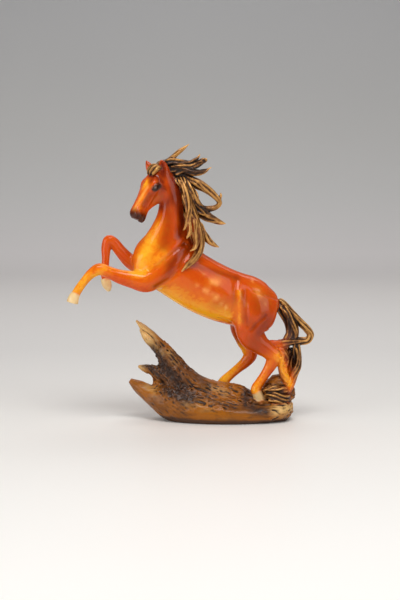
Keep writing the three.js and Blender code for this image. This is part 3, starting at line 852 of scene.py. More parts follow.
@dataclass
class Hair:
    """The mane, the forelock and the tail, in locks."""

    mane: tuple[Rows, ...] = (
        (
            (-72, -24, 248, 4), (-61, -20, 252, 5.5), (-50, -18, 245, 7), (-43, -17, 231, 7),
            (-38, -16, 212, 7.5), (-32, -15, 194, 7.5), (-27, -13, 178, 6.5), (-25, -12, 169, 3),
        ),
        (
            (-71, -25, 250, 2), (-65.4, -22, 256.4, 2.8), (-57.5, -21, 258.4, 3.2), (-51.6, -20, 262.6, 3),
            (-45.7, -19, 268.2, 2.4), (-40.8, -18, 271.8, 1.7), (-36, -17, 275.5, 0.5),
        ),
        (
            (-62, -22, 255, 4), (-53, -21, 258.5, 4.2), (-44, -20, 257.5, 3.4), (-36, -19, 256.3, 3),
            (-30, -18, 260, 2.4), (-25.5, -17, 265.7, 0.7),
        ),
        (
            (-56, -23, 251.5, 4.5), (-46, -23, 253, 4), (-36, -22, 252.5, 3.4), (-29, -21, 254.8, 3.2),
            (-23.5, -20, 258.7, 3), (-19, -20, 260.3, 2.4),
        ),
        (
            (-52, -22, 247.5, 4.5), (-42, -24, 249.5, 3.6), (-32, -24, 247.5, 3.6),
            (-23.5, -23, 248.3, 2.8), (-14.3, -22, 253, 0.6),
        ),
        (
            (-50, -20, 244.5, 5), (-42.8, -20, 243.7, 5.5), (-35.9, -20, 239.8, 5.5),
            (-28, -20, 236.3, 5.4), (-21, -20, 232.4, 4.5), (-14, -20, 227, 3.6), (-8.7, -20, 221.6, 2.8),
            (-6.8, -20, 217.6, 2.5), (-10.2, -20, 213.9, 2.6), (-17, -20, 212.2, 3.2),
            (-24, -21, 212.8, 3.2), (-30, -22, 217, 2.6),
        ),
        (
            (-8, -20, 219, 2.3), (-5.8, -19, 224.5, 1.6), (-5.8, -19, 228.5, 0.5),
        ),
        (
            (-48, -23, 243, 5), (-40.5, -24, 235, 6), (-33.5, -25, 226, 5.6), (-28.5, -24, 218, 4),
            (-23, -22, 213.8, 3),
        ),
        (
            (-36, -24, 220, 5), (-29, -22, 213, 5), (-21, -20, 206.2, 5.6), (-13.2, -19, 202.3, 4.3),
            (-6.3, -18, 198.8, 2.6), (-0.3, -18, 197.4, 0.6),
        ),
        (
            (-29, -20, 200.5, 4.5), (-23, -19, 188.6, 4), (-17, -18, 180.5, 3.2), (-11, -17, 176.2, 2),
            (-7, -17, 174.2, 0.8),
        ),
        (
            (-43, -25, 237, 4), (-39, -27, 223.2, 5), (-34, -27, 209.2, 5), (-29, -26, 195, 5),
            (-26, -25, 182, 4.5), (-27, -25, 171, 4.2), (-32, -27, 163.2, 3.6), (-39, -29, 157, 2.8),
            (-44, -31, 151.6, 1.2),
        ),
        (
            (-45, -22, 242.7, 4), (-40, -29, 231.4, 3.4), (-37, -30, 217.5, 3.6), (-37, -30, 203.5, 3.2),
            (-40, -29, 194.4, 1.8), (-42.5, -28, 191.3, 0.6),
        ),
        (
            (-38, -29, 215.4, 3.4), (-35, -30, 201.5, 3.6), (-36, -30, 189.5, 2.6), (-39, -30, 183.5, 1),
        ),
        (
            (-33, -30, 207.5, 3.2), (-30, -30, 193.5, 3.2), (-29, -29, 181.4, 2.8), (-32, -29, 173.4, 2),
            (-36, -30, 171.5, 0.7),
        ),
        (
            (-42, -10, 236, 4.5), (-37, -6, 220, 5), (-31, -5, 203, 5), (-27, -5, 187, 4.5),
            (-29, -4, 172, 3.4), (-36, -3, 162, 1),
        ),
    )
    forelock: tuple[Rows, ...] = (
        ((-64, -22, 252, 3), (-70, -24, 253.6, 3.4), (-75, -25.5, 250.5, 2.6), (-77, -27, 246, 1.2)),
        ((-63, -23, 252, 3), (-68.5, -26, 253, 3.4), (-73, -28.5, 249.5, 2.8), (-74.6, -29.5, 245, 1.2)),
        ((-63, -25, 251, 2.6), (-67, -28, 252, 3), (-70.6, -30.5, 248.5, 2.6), (-72, -31.6, 244.5, 1)),
    )
    tail: tuple[Rows, ...] = (
        (
            (50, 12, 119, 5), (57, 12, 115, 4.6), (65.5, 10, 106.5, 4.2), (74, 8, 97.9, 4),
            (81, 6, 91, 3.9), (85, 5, 84.5, 3.8), (82, 4, 79.6, 4), (74, 3, 78.8, 4.3), (64, 0, 78.5, 4.2),
            (54, -3, 77.5, 4.8), (44, -5, 78.5, 4),
        ),
        (
            (51, 12, 115.3, 6), (58, 10, 105.5, 5), (63, 7, 95.8, 4.4), (64, 4, 87, 4.2),
            (61, 1, 79.4, 4.5), (59, -1, 70.5, 5), (61, -1, 60.5, 4.5),
        ),
        (
            (56, 10, 113.5, 4.5), (63, 8, 104.7, 4.6), (68, 5, 95, 4.6), (69, 3, 85.2, 4.2),
            (65, 1, 78, 3.8),
        ),
        (
            (69, 3, 78, 5), (70.5, 2, 70.3, 4.8), (72, 1, 60.3, 4.2), (71.5, 0, 52.3, 4),
            (68.5, -1, 44.6, 4), (65.5, -2, 36.6, 4), (61.5, -4, 29.8, 4), (56, -6, 25, 3),
        ),
        (
            (48, -4, 73, 7), (56, -3, 66, 7), (57.5, -3, 60, 6), (57, -3, 53, 5.3), (58, -3, 46, 4.6),
            (61.5, -3, 38, 4.3), (65, -3, 31.8, 4),
        ),
        (
            (63, 4, 72, 5), (65.5, 5, 60, 5), (65.5, 4, 48, 4.5), (63, 2, 36, 4.5),
        ),
        (
            (37, -10, 30.5, 3), (47, -12, 32.5, 3.6), (57, -9, 31.4, 3.8), (63, -3, 30, 3),
        ),
        (
            (38, -12, 25.5, 3), (48, -15, 26.5, 3.8), (59, -10, 24.5, 4), (64, -3, 23, 3),
        ),
        (
            (42, -14, 20.5, 3), (50, -16, 21.5, 3.8), (59, -11, 19.5, 4), (64, -4, 18, 3),
        ),
    )
    blend: float = 0.35
    turns: tuple[float, float] = (-1.2, 1.5)
    strand: float = 1.3
    fine_strand: float = 0.95

    def model(self, volume: Volume) -> Array:
        """Models every lock, twisted one way and the other in turn.

        Args:
            volume: The voxels to model in.

        Returns:
            The field of distances to the hair.
        """
        field = volume.blank()
        for number, rows in enumerate((*self.mane, *self.forelock, *self.tail)):
            turn = self.turns[number % 2]
            strand = self.fine_strand if rows in self.forelock else self.strand
            volume.stamp(field, Lock(rows, turn, number, strand).skin(), self.blend)
        return field


@dataclass(frozen=True)
class Grain:
    """Rough wood in a soft oval [x, z] of the base, whose ridges run one way as the reader sees them."""

    centre: tuple[float, float]
    reach: tuple[float, float]
    heading: float
    size: tuple[float, float]
    depth: float
    seed: int
    coarse_share: float = 0.65
    fine_scale: float = 2.3
    level: float = 0.2
    fade: tuple[float, float] = (0.6, 1.3)

    def roughen(self, places: Array, field: Array) -> Array:
        """Gives the field of distances a rough surface.

        Args:
            places: Where the field's values are.
            field: The distances there.

        Returns:
            The distances to the rougher surface.
        """
        x, y, z = places[..., 0], places[..., 1], places[..., 2]
        along = x * math.cos(self.heading) + z * math.sin(self.heading)
        across = z * math.cos(self.heading) - x * math.sin(self.heading)
        noise = Noise(self.seed)
        coarse = np.stack((along / self.size[0], across / self.size[1], y / self.size[1]), -1)
        ridges = 1 - 2 * np.abs(noise(coarse))
        bumps = self.coarse_share * ridges + (1 - self.coarse_share) * noise(coarse * self.fine_scale + 7)
        inside = ((x - self.centre[0]) / self.reach[0]) ** 2 + ((z - self.centre[1]) / self.reach[1]) ** 2
        return field - self.depth * (bumps - self.level) * (1 - ease(inside, *self.fade))


@dataclass
class Driftwood:
    """The base: a boat-like hull, a log with a broken spike across it, and its shorter prong."""

    hull: Rows = (
        (0.41, 0, 0.6, 0.2, 0.1), (0.375, 0, 0.58, 0.54, 0.27), (0.285, 0, 0.46, 0.6, 0.41),
        (0.18, 0, 0.42, 0.66, 0.475), (0.06, 0, 0.42, 0.8, 0.5), (-0.065, 0, 0.5, 0.95, 0.5),
        (-0.19, 0, 0.65, 1.05, 0.46), (-0.295, 0, 0.85, 1.05, 0.385), (-0.38, 0, 1.05, 0.85, 0.3),
        (-0.465, 0.02, 1.27, 0.46, 0.2), (-0.54, 0.03, 1.67, 0.31, 0.12), (-0.592, 0.04, 1.95, 0.12, 0.05),
    )
    spike: Rows = (
        (-90, 4, 99.5, 1, 1.2), (-83.5, 4, 93, 3.2, 3.5), (-77, 4, 84, 6.4, 6), (-68, 4, 74, 7.4, 8),
        (-60, 4, 64, 9.4, 10), (-54, 4, 53, 12.4, 13), (-47, 4, 42.5, 13.8, 16), (-34, 5, 32, 14.6, 18),
        (-18, 7, 25, 14, 18), (0, 9, 22, 13, 17), (13, 10, 20, 13, 15), (22, 11, 17, 10, 12),
        (32, 12, 10, 5, 8),
    )
    prong: Rows = (
        (-88, 2, 53.5, 1.2), (-81, 2, 51.2, 4), (-74, 2, 49.2, 5.2), (-64, 2, 45, 8), (-54, 2, 38, 9),
    )
    crotch: Rows = (
        (-64, 3, 50, 5), (-67, 3, 41, 6), (-65, 3, 31, 7),
    )
    stump: Rows = (
        (36, 9, 14, 6, 9), (44, 8, 22.6, 9.4, 12), (54, 6, 31, 13.5, 14), (61, 4, 26, 9.5, 10),
        (65, 2, 19, 5, 6),
    )
    shards: tuple[Rows, ...] = (
        ((-86, 1, 91, 0.8, 1), (-82, -1, 86, 3, 3.4), (-76, -2.5, 79, 4.2, 4.6), (-70, -3, 73, 3, 3.4),
         (-66, -2, 70, 1, 1)),
        ((-88.5, 1, 97.6, 1, 1), (-80, 1, 90, 2, 2), (-70, 0, 79.5, 2.4, 2.6), (-60, -2, 69.5, 2, 2)),
        ((-66, -4, 70, 1, 1), (-58, -7, 60, 3.4, 3), (-51, -9, 50, 4, 3), (-46, -10, 44, 1.2, 1.2)),
        ((-60, -1, 71, 1, 1), (-52, -3, 61, 3, 3), (-43, -4, 50, 3.4, 3.4), (-34, -4, 42, 1, 1)),
    )
    hollows: tuple[Rows, ...] = (
        ((22, -19, 20, 1, 1), (28, -17, 18.5, 5, 4), (38, -17, 18, 5.4, 4.4), (45, -17, 19, 1.5, 1.5)),
        ((-24, -12, 40.5, 0.8, 0.8), (-20, -12, 38, 2.2, 2.2), (-16, -12, 36.4, 0.8, 0.8)),
        ((-13, -8, 42, 0.8, 0.8), (-5, -8, 36, 1.8, 2), (2, -8, 33, 0.8, 0.8)),
        ((-48, -14, 34, 0.8, 0.8), (-40, -15, 30, 1.8, 1.6), (-30, -15, 27, 0.8, 0.8)),
    )
    grains: tuple[Grain, ...] = (
        Grain((-54, 54), (26, 32), math.radians(-50), (7, 2.4), 2.0, 11),
        Grain((-2, 28), (50, 14), math.radians(-20), (7, 3), 1.7, 12),
        Grain((-76, 48), (16, 8), math.radians(-12), (8, 2.4), 0.8, 13),
        Grain((54, 26), (24, 26), math.radians(6), (18, 2.8), 1.5, 14),
        Grain((-60, 24), (40, 22), math.radians(-32), (16, 3.4), 0.7, 15),
        Grain((-10, 8), (110, 18), math.radians(-4), (20, 4), 0.55, 17),
        Grain((-84, 92), (16, 16), math.radians(-52), (16, 2), 0.5, 16),
    )
    blend: float = 3.0
    shard_blend: float = 0.6
    hollow_edge: float = 1.5
    hull_facets: int = 48
    detail_facets: int = 12
    grain_reach: float = 4.0

    def model(self, volume: Volume) -> Array:
        """Models the wood, roughens it with grain and bark, and cuts its hollows.

        Args:
            volume: The voxels to model in.

        Returns:
            The field of distances to the wood.
        """
        field = volume.blank()
        scale = (BASE_LENGTH, BASE_DEPTH, BASE_HEIGHT, BASE_HEIGHT, BASE_DEPTH)
        hull = tuple(tuple(a * b for a, b in zip(row, scale)) for row in self.hull)
        volume.add_forms(field, (hull,), 0.0, DEPTHWAYS, self.hull_facets)
        volume.add_forms(field, (self.spike, self.prong, self.crotch, self.stump), self.blend, DEPTHWAYS)
        volume.add_forms(field, self.shards, self.shard_blend, DEPTHWAYS, self.detail_facets)
        near = np.abs(field) < self.grain_reach
        places = volume.low + volume.pitch * np.argwhere(near)
        rough = field[near]
        for grain in self.grains:
            rough = grain.roughen(places, rough)
        field[near] = rough
        hollows = volume.blank()
        volume.add_forms(hollows, self.hollows, 0.0, DEPTHWAYS, self.detail_facets)
        return volume.hollowed(field, hollows, self.hollow_edge)


class Finish(Enum):
    """The casting's finishes, in the order of their material slots, with the names of their masks."""

    AMBER = "body"
    GILT = "gilt"
    WOOD = "wood"
    HORN = "horn"


LAYERS = (Finish.GILT, Finish.WOOD, Finish.HORN)  # over the amber, which is in the first slot


@dataclass(frozen=True)
class Tint:
    """A soft stroke of colour along places: [x, y, z], or [x, z] to go through from side to side."""

    line: Rows
    width: float
    amount: float = 1.0

    def at(self, points: Array) -> Array:
        """Measures the tint.

        Args:
            points: Places in squares.

        Returns:
            How strong the tint is at each.
        """
        line = np.array(self.line, float)
        places = points if line.shape[1] == 3 else points[:, [0, 2]]
        away = distance_to_line(places, np.vstack((line, line[-1:] + 0.01))) / self.width
        return self.amount * np.exp(-away * away)


def laid(tints: tuple[Tint, ...], points: Array) -> Array:
    """Lays several tints over each other.

    Args:
        tints: The strokes of one colour.
        points: The places to tint.

    Returns:
        How strong the colour is at each place, from 0 to 1.
    """
    bare = np.ones(len(points))
    for tint in tints:
        bare *= 1 - tint.at(points)
    return 1 - bare


@dataclass(frozen=True)
class Colouring:
    """Where the casting is brighter, deeper or darker than its plain colours; some of the tints are painted
    highlights and painted shade.
    """

    glow: tuple[Tint, ...] = (
        Tint(((-66, 198), (-72, 186)), 7, 0.65),
        Tint(((-75, 178), (-82, 164), (-84, 152)), 9, 0.95),
        Tint(((-70, -28, 160), (-62, -30, 168)), 8, 0.7),
        Tint(((-75, -30, 150), (-96, -33, 150), (-112, -36, 153)), 5, 0.75),
        Tint(((-120, -37, 155), (-135, -39, 146), (-146, -40, 133)), 7, 1),
        Tint(((-96, 10, 158), (-99, 8, 140), (-94, 6, 128)), 4, 0.3),
        Tint(((-64, 132), (-50, 121), (-36, 113), (-16, 106), (0, 104)), 7, 0.85),
        Tint(((-56, 132), (-40, 124), (-20, 116), (0, 112)), 13, 0.6),
        Tint(((-14, 141), (-8, 143)), 5, 0.35),
        # painted highlight on the forehead, over the far eye's brow
        Tint(((-78, -31, 238), (-80, -31, 232)), 4.5, 0.9),
        # painted highlight down the ridge of the nose
        Tint(((-80, -36, 226), (-88, -42, 211)), 3.5, 0.7),
        Tint(((-70, -30, 222), (-63, -25, 225)), 4, 0.25),
        # painted highlight streak down the front of the near thigh
        Tint(((12.5, -17, 130), (13.5, -15, 100)), 3, 0.75),
        Tint(((38, -14, 58), (36, -14, 48), (28, -12, 32)), 8, 1),
        Tint(((52, 66), (56, 54), (64, 36)), 6, 0.85),
        Tint(((14, 14, 68), (4, 14, 50), (-6, 12, 36)), 11, 1),
        Tint(((-88, 2, 172), (-78, -2, 160)), 5, 0.35),
        Tint(((31, -10, 130), (35, -12, 118)), 7, 0.35),
    )
    deep: tuple[Tint, ...] = (
        Tint(((-51, -26, 240), (-47, -25, 216), (-44, -22, 200), (-46, -25, 186)), 5, 1),
        # painted shadow on the neck behind the jaw
        Tint(((-63, -26, 214), (-56, -27, 219), (-52, -26, 230)), 4.5, 1),
        Tint(((-50, -20, 240), (-42, -10, 215), (-40, -8, 190)), 7, 0.8),
        Tint(((-42, -22, 174), (-48, -27, 166), (-54, -30, 158)), 6, 0.9),
        Tint(((-56, -31, 152), (-66, -31, 142), (-72, -31, 138)), 4, 0.8),
        Tint(((-34, 158), (-10, 150), (12, 143)), 3, 0.5),
        Tint(((-10, -22, 118), (8, -18, 124)), 6, 0.25),
        Tint(((16, -16, 128), (17, -15, 100)), 3, 0.35),
        Tint(((34, -14, 118), (40, -12, 100), (30, -14, 84)), 12, 0.55),
        Tint(((20, -14, 104), (32, -14, 92), (40, -12, 104)), 5, 0.5),
        Tint(((46, -10, 84), (38, -12, 74), (28, -14, 72)), 8, 0.35),
        Tint(((-76, 0, 160), (-100, 8, 165), (-104, 8, 150)), 8, 0.5),
        Tint(((10, 12, 100), (12, 12, 80)), 12, 0.6),
        Tint(((-62, -28, 257), (-62, -29, 246)), 4.5, 1),
        Tint(((-83, -19, 238), (-84, -19, 231)), 2.5, 0.9),
        Tint(((-55, -26, 250), (-52, -27, 236), (-50, -27, 222)), 5, 0.75),
        Tint(((-57, -28, 208), (-58, -29, 192), (-61, -30, 176)), 6, 0.45),
        Tint(((-79, -15, 257),), 6, 0.7),
        Tint(((-66, -31, 236), (-60, -29, 232)), 3.5, 0.9),
        Tint(((-75, -29, 244.5), (-69, -30, 243), (-62, -29.5, 239)), 2.4, 1),
        Tint(((-61.5, -28.5, 246), (-62.4, -28, 255)), 3, 1),
        Tint(((-71, -32, 231), (-73, -34, 224), (-79, -38, 216)), 4, 0.5),
        Tint(((-64, -28, 230), (-60, -26, 222)), 5, 0.55),
        Tint(((-70, -33, 226), (-66, -28, 216)), 4, 0.3),
        Tint(((-145, -41, 132), (-142, -37, 128)), 2.2, 0.5),
        # painted shade on the face under the forelock
        Tint(((-74, -33, 240), (-67, -30, 243)), 3, 0.8),
        Tint(((-76, -35, 228), (-80, -38, 218)), 2.5, 0.4),
    )
    pale: tuple[Tint, ...] = (
        Tint(((-88, 98), (-82, 90), (-77, 82)), 8, 1),
        Tint(((-70, 74), (-64, 68)), 4, 0.5),
        Tint(((-57, 68), (-50, 58)), 3.5, 0.4),
        Tint(((50, 13), (58, 14), (63, 15)), 6, 0.9),
        Tint(((-89, 54), (-84, 52)), 4, 0.8),
        Tint(((-78, 34), (-72, 30)), 4, 0.4),
        Tint(((-40, 20), (-16, 18)), 5, 0.2),
        Tint(((-18, 34), (0, 28)), 3, 0.35),
    )
    bark: tuple[Tint, ...] = (
        Tint(((-72, 68), (-63, 56), (-52, 44), (-44, 33)), 11, 1),
        Tint(((-60, 32), (-44, 27), (-34, 26)), 6, 0.9),
        Tint(((-82, 55), (-74, 52), (-66, 44)), 3.5, 0.8),
        Tint(((-50, 66), (-38, 52), (-26, 42)), 5, 0.7),
        Tint(((-23, 37), (-17, 33)), 4, 0.7),
        # painted shade in the hollow round the near hind hoof
        Tint(((20, 27), (20, 19), (27, 15), (38, 13)), 4.5, 1),
        Tint(((-102, 36), (-88, 20), (-78, 10)), 4, 0.7),
        Tint(((-68, 18), (-60, 14)), 6, 0.35),
        Tint(((-50, 10), (-40, 8)), 5, 0.3),
        Tint(((-30, 30), (-16, 24), (0, 18), (16, 16)), 3, 0.45),
        Tint(((56, 34), (66, 30)), 7, 0.6),
    )
    bare: tuple[Tint, ...] = (
        Tint(((34, 80), (44, 80), (50, 74)), 8, 1),
        Tint(((46, 76), (53, 64), (60, 48), (66, 34)), 6, 1),
    )
    rust: tuple[Tint, ...] = (
        Tint(((-36, 192), (-38, 178), (-44, 166)), 10, 1),
        Tint(((40, 88), (52, 84)), 8, 0.7),
    )
    shade: tuple[Tint, ...] = (
        Tint(((-56, 256), (-46, 249), (-36, 248), (-22, 252)), 5, 1),
        Tint(((-40, 262), (-20, 258), (-12, 262)), 4, 0.6),
        Tint(((-24, 214), (-10, 206), (4, 204)), 5, 0.6),
        Tint(((-68, 262), (-60, 264)), 5, 0.4),
        Tint(((-77, -28, 246), (-72, -31, 244)), 2.5, 0.9),
        Tint(((60, 100), (66, 84), (68, 60)), 7, 0.7),
        Tint(((44, 30), (58, 26), (64, 20)), 7, 0.3),
        Tint(((33, -7, 26), (36, -8, 17)), 6, 0.5),
    )
    inclusion: tuple[Tint, ...] = (
        # painted highlight down the ridge of the nose; the spots after it are flecks in the resin
        Tint(((-76.5, 234), (-84, 222.5), (-90, 212)), 1.1, 0.55),
        Tint(((-20, 133),), 2.2, 1), Tint(((-10.3, 125),), 2.2, 1), Tint(((-5.4, 119),), 1.5, 0.9),
        Tint(((-0.4, 114.6),), 1.3, 0.8), Tint(((-14, 141), (-10, 140)), 3, 0.55),
        Tint(((-15, 129),), 1.2, 0.6),
        Tint(((-28, 138),), 1.5, 0.5), Tint(((20, 118),), 1.6, 0.4), Tint(((31, 130), (33, 126)), 2.6, 0.4),
        Tint(((26, 140),), 1.6, 0.4), Tint(((38, 118),), 1.4, 0.4), Tint(((-22, 148),), 1.3, 0.4),
    )


class Wire:
    """A socket's value, which takes part in arithmetic."""

    def __init__(self, graph: "Graph", socket: bpy.types.NodeSocket) -> None:
        """Wraps a socket of a graph."""
        self.graph = graph
        self.socket = socket

    def math(self, operation: str, one: "Value", other: "Value") -> "Wire":
        """A Math node on two values."""
        return self.graph.node("ShaderNodeMath", {"operation": operation}, {0: one, 1: other})

    def __add__(self, other: "Value") -> "Wire":
        """This value and another, added."""
        return self.math("ADD", self, other)

    def __radd__(self, other: "Value") -> "Wire":
        """A number and this value, added."""
        return self.math("ADD", other, self)

    def __sub__(self, other: "Value") -> "Wire":
        """This value less another."""
        return self.math("SUBTRACT", self, other)

    def __rsub__(self, other: "Value") -> "Wire":
        """A number less this value."""
        return self.math("SUBTRACT", other, self)

    def __mul__(self, other: "Value") -> "Wire":
        """This value times another."""
        return self.math("MULTIPLY", self, other)

    def __rmul__(self, other: "Value") -> "Wire":
        """A number times this value."""
        return self.math("MULTIPLY", other, self)

    def clipped(self) -> "Wire":
        """This value, held between 0 and 1."""
        return self.graph.node("ShaderNodeClamp", {}, {0: self})


Value = Wire | float | tuple[float, ...]


class Graph:
    """The node tree of one material."""

    def __init__(self, name: str) -> None:
        """Makes a material with an empty node tree.

        Args:
            name: The material's name.
        """
        self.material = bpy.data.materials.new(name)
        self.material.use_nodes = True
        self.tree = self.material.node_tree
        self.tree.nodes.clear()

    def node(self, kind: str, settings: dict[str, object], sockets: dict[int | str, Value],
             output: int | str = 0) -> Wire:
        """Adds a node.

        Args:
            kind: The node's type.
            settings: Its properties; "stops" are those of a colour ramp.
            sockets: The values or links of its inputs, by name or number.
            output: The output that is wanted.

        Returns:
            That output.
        """
        node = self.tree.nodes.new(kind)
        for key, value in settings.items():
            if key == "stops":
                self.stops(node.color_ramp, value)
            else:
                setattr(node, key, value)
        for key, value in sockets.items():
            if isinstance(value, Wire):
                self.tree.links.new(value.socket, node.inputs[key])
            else:
                node.inputs[key].default_value = value
        return Wire(self, node.outputs[output] if node.outputs else None)

    @staticmethod
    def stops(ramp: bpy.types.ColorRamp, stops: tuple[tuple[float, tuple[float, ...]], ...]) -> None:
        """Sets the colours of a ramp.

        Args:
            ramp: The ramp.
            stops: The place and the colour of each stop.
        """
        while len(ramp.elements) < len(stops):
            ramp.elements.new(0.5)
        for element, (place, colour) in zip(ramp.elements, stops):
            element.position = place
            element.color = (*colour[:3], 1)

    def attribute(self, name: str) -> Wire:
        """A value that the mesh carries."""
        return self.node("ShaderNodeAttribute", {"attribute_name": name}, {}, "Fac")

    def place(self) -> Wire:
        """Where a point is on its object."""
        return self.node("ShaderNodeTexCoord", {}, {}, "Object")

    def axis(self, name: str) -> Wire:
        """One coordinate of a point on its object, in metres."""
        return self.node("ShaderNodeSeparateXYZ", {}, {0: self.place()}, name)

    def noise(self, pattern: "Pattern") -> Wire:
        """Adds smooth noise that is fixed to the object.

        Args:
            pattern: Its scale, detail, distortion and stretch.

        Returns:
            The noise, about 0.
        """
        place = self.place()
        if pattern.stretch:
            sockets = {0: place, 1: pattern.stretch}
            place = self.node("ShaderNodeVectorMath", {"operation": "MULTIPLY"}, sockets)
        sockets = {"Vector": place, "Scale": pattern.scale, "Detail": pattern.detail,
                   "Distortion": pattern.distortion}
        return self.node("ShaderNodeTexNoise", {}, sockets, "Fac") - 0.5

    def mixed(self, factor: Value, one: Value, other: Value) -> Wire:
        """One colour turned into another by a factor."""
        return self.node("ShaderNodeMix", {"data_type": "RGBA"}, {0: factor, 6: one, 7: other}, 2)

    def ramp(self, value: Wire, *stops: tuple[float, tuple[float, ...]]) -> Wire:
        """A colour for each value."""
        return self.node("ShaderNodeValToRGB", {"stops": stops}, {0: value})


@dataclass(frozen=True)
class Pattern:
    """A noise: how many of its waves go to a metre, and its finer detail, distortion and stretch."""

    scale: float
    detail: float
    distortion: float = 0.0
    stretch: tuple[float, ...] = ()


@dataclass(frozen=True)
class Palette:
    """The casting's colours, in linear light."""

    amber: tuple[float, ...] = (0.62, 0.075, 0.002, 1)
    honey: tuple[float, ...] = (0.88, 0.24, 0.005, 1)
    yellow: tuple[float, ...] = (0.92, 0.42, 0.02, 1)
    garnet: tuple[float, ...] = (0.13, 0.008, 0.002, 1)
    fleck_and_highlight: tuple[float, ...] = (1.0, 0.5, 0.12, 1)
    muzzle: tuple[float, ...] = (0.035, 0.009, 0.005, 1)
    glint: tuple[float, ...] = (0.5, 0.38, 0.3, 1)
    gold: tuple[float, ...] = (0.64, 0.325, 0.09, 1)
    brass: tuple[float, ...] = (0.44, 0.205, 0.048, 1)
    bronze: tuple[float, ...] = (0.24, 0.095, 0.02, 1)
    umber: tuple[float, ...] = (0.06, 0.02, 0.004, 1)
    soot: tuple[float, ...] = (0.012, 0.005, 0.002, 1)
    oak: tuple[float, ...] = (0.32, 0.10, 0.005, 1)
    walnut: tuple[float, ...] = (0.14, 0.045, 0.008, 1)
    straw: tuple[float, ...] = (0.72, 0.44, 0.16, 1)
    bark: tuple[float, ...] = (0.038, 0.017, 0.010, 1)
    ivory: tuple[float, ...] = (0.85, 0.66, 0.36, 1)


PALETTE = Palette()


class Clouds:
    """The patterns that every finish of one graph shares, and how high the carving stands, set lower where
    shade is painted.
    """

    def __init__(self, graph: Graph) -> None:
        """Adds the patterns to a graph.

        Args:
            graph: The graph.
        """
        self.swirl = graph.noise(Pattern(65, 3, 2.0))
        self.marble = graph.noise(Pattern(160, 4, 2.6))
        self.fine = graph.noise(Pattern(420, 4))
        self.ridge = graph.attribute("ridge")
        height = self.ridge + self.fine * 0.2 + self.marble * 0.15
        self.height = (height - graph.attribute("shade") * 0.2).clipped()


@dataclass(frozen=True)
class Coating:
    """How a finish of the casting takes the light."""

    name: str = "resin"
    rough: float = 0.3
    specular: float = 0.4
    coat: float = 0.0
    coat_rough: float = 0.06
    metallic: float = 0.0
    soft: float = 0.0
    soft_reach: tuple[float, float, float] = (1.0, 0.3, 0.06)
    soft_scale: float = 0.005
    haze: Pattern = Pattern(600, 3)
    haze_strength: float = 0.12
    pores: Pattern = Pattern(1400, 3)
    pore_strength: float = 0.04
    pore_depth: float = 0.0006

    def colour(self, graph: Graph, clouds: Clouds) -> Wire:
        """The finish's own colour, which each finish mixes in its own way."""
        raise NotImplementedError

    def material(self) -> bpy.types.Material:
        """Makes the finish's material.

        Returns:
            The material, with the colour of the whole casting, so that the finishes meet softly.
        """
        graph = Graph(self.name)
        rough = self.rough + graph.noise(self.haze) * self.haze_strength
        bump = graph.node("ShaderNodeBump", {}, {
            "Strength": self.pore_strength, "Distance": self.pore_depth, "Height": graph.noise(self.pores),
        })
        shader = graph.node("ShaderNodeBsdfPrincipled", {}, {
            "Base Color": whole_colour(graph), "Roughness": rough, "Metallic": self.metallic,
            "Specular IOR Level": self.specular, "Coat Weight": self.coat, "Coat Roughness": self.coat_rough,
            "Subsurface Weight": self.soft, "Subsurface Radius": self.soft_reach,
            "Subsurface Scale": self.soft_scale, "Normal": bump,
        })
        graph.node("ShaderNodeOutputMaterial", {}, {"Surface": shader})
        return graph.material


@dataclass(frozen=True)
class AmberResin(Coating):
    """Clear amber resin that brightens to honey and yellow and deepens to garnet, with painted highlights and
    painted shade where the carving is sunk.
    """

    name: str = "amber_resin"
    rough: float = 0.09
    specular: float = 0.3
    soft: float = 0.3
    glow_swirl: float = 0.5
    glow_marble: float = 0.7
    deep_amount: float = 0.9
    deep_clouds: float = 0.35
    groove_shade: float = 0.9
    groove_level: float = 0.5

    def colour(self, graph: Graph, clouds: Clouds) -> Wire:
        """Mixes the finish's colour.

        Args:
            graph: The graph to add the nodes to.
            clouds: Its patterns.

        Returns:
            The colour.
        """
        clouding = clouds.swirl * self.glow_swirl + clouds.marble * self.glow_marble
        glow = (graph.attribute("glow") + clouding).clipped()
        clouding = (clouds.swirl + clouds.marble) * self.deep_clouds
        # painted shade: the garnet deepens where the carving is sunk
        groove = (self.groove_level - clouds.ridge) * self.groove_shade
        deep = (graph.attribute("deep") * self.deep_amount + clouding + groove).clipped()
        colour = graph.mixed(glow, PALETTE.amber, PALETTE.honey)
        for mask, tint in (
            ((glow * 2 - 1).clipped(), PALETTE.yellow), (graph.attribute("inclusion"), PALETTE.fleck_and_highlight),
            (deep, PALETTE.garnet), (graph.attribute("dark"), PALETTE.muzzle),
            (graph.attribute("glint"), PALETTE.glint),
        ):
            colour = graph.mixed(mask, colour, tint)
        return colour


@dataclass(frozen=True)
class GiltHair(Coating):
    """Hair with gold on its strands, dark between them, and bare amber where the gilding is rubbed."""

    name: str = "gilt_hair"
    rough: float = 0.34
    coat: float = 0.05
    metallic: float = 0.45
    pore_strength: float = 0.25
    swirl: float = 0.25
    stops: tuple[float, ...] = (0.38, 0.5, 0.585, 0.67, 0.76)
    rust_height: float = 0.62
    rust_edge: float = 3.0

    def colour(self, graph: Graph, clouds: Clouds) -> Wire:
        """Mixes the finish's colour.

        Args:
            graph: The graph to add the nodes to.
            clouds: Its patterns.

        Returns:
            The colour.
        """
        colours = (PALETTE.soot, PALETTE.umber, PALETTE.bronze, PALETTE.brass, PALETTE.gold)
        gilding = (clouds.height + clouds.swirl * self.swirl).clipped()
        colour = graph.ramp(gilding, *zip(self.stops, colours))
        rust = graph.attribute("rust") * self.rust_edge * (self.rust_height - clouds.height)
        return graph.mixed(rust.clipped(), colour, PALETTE.amber)


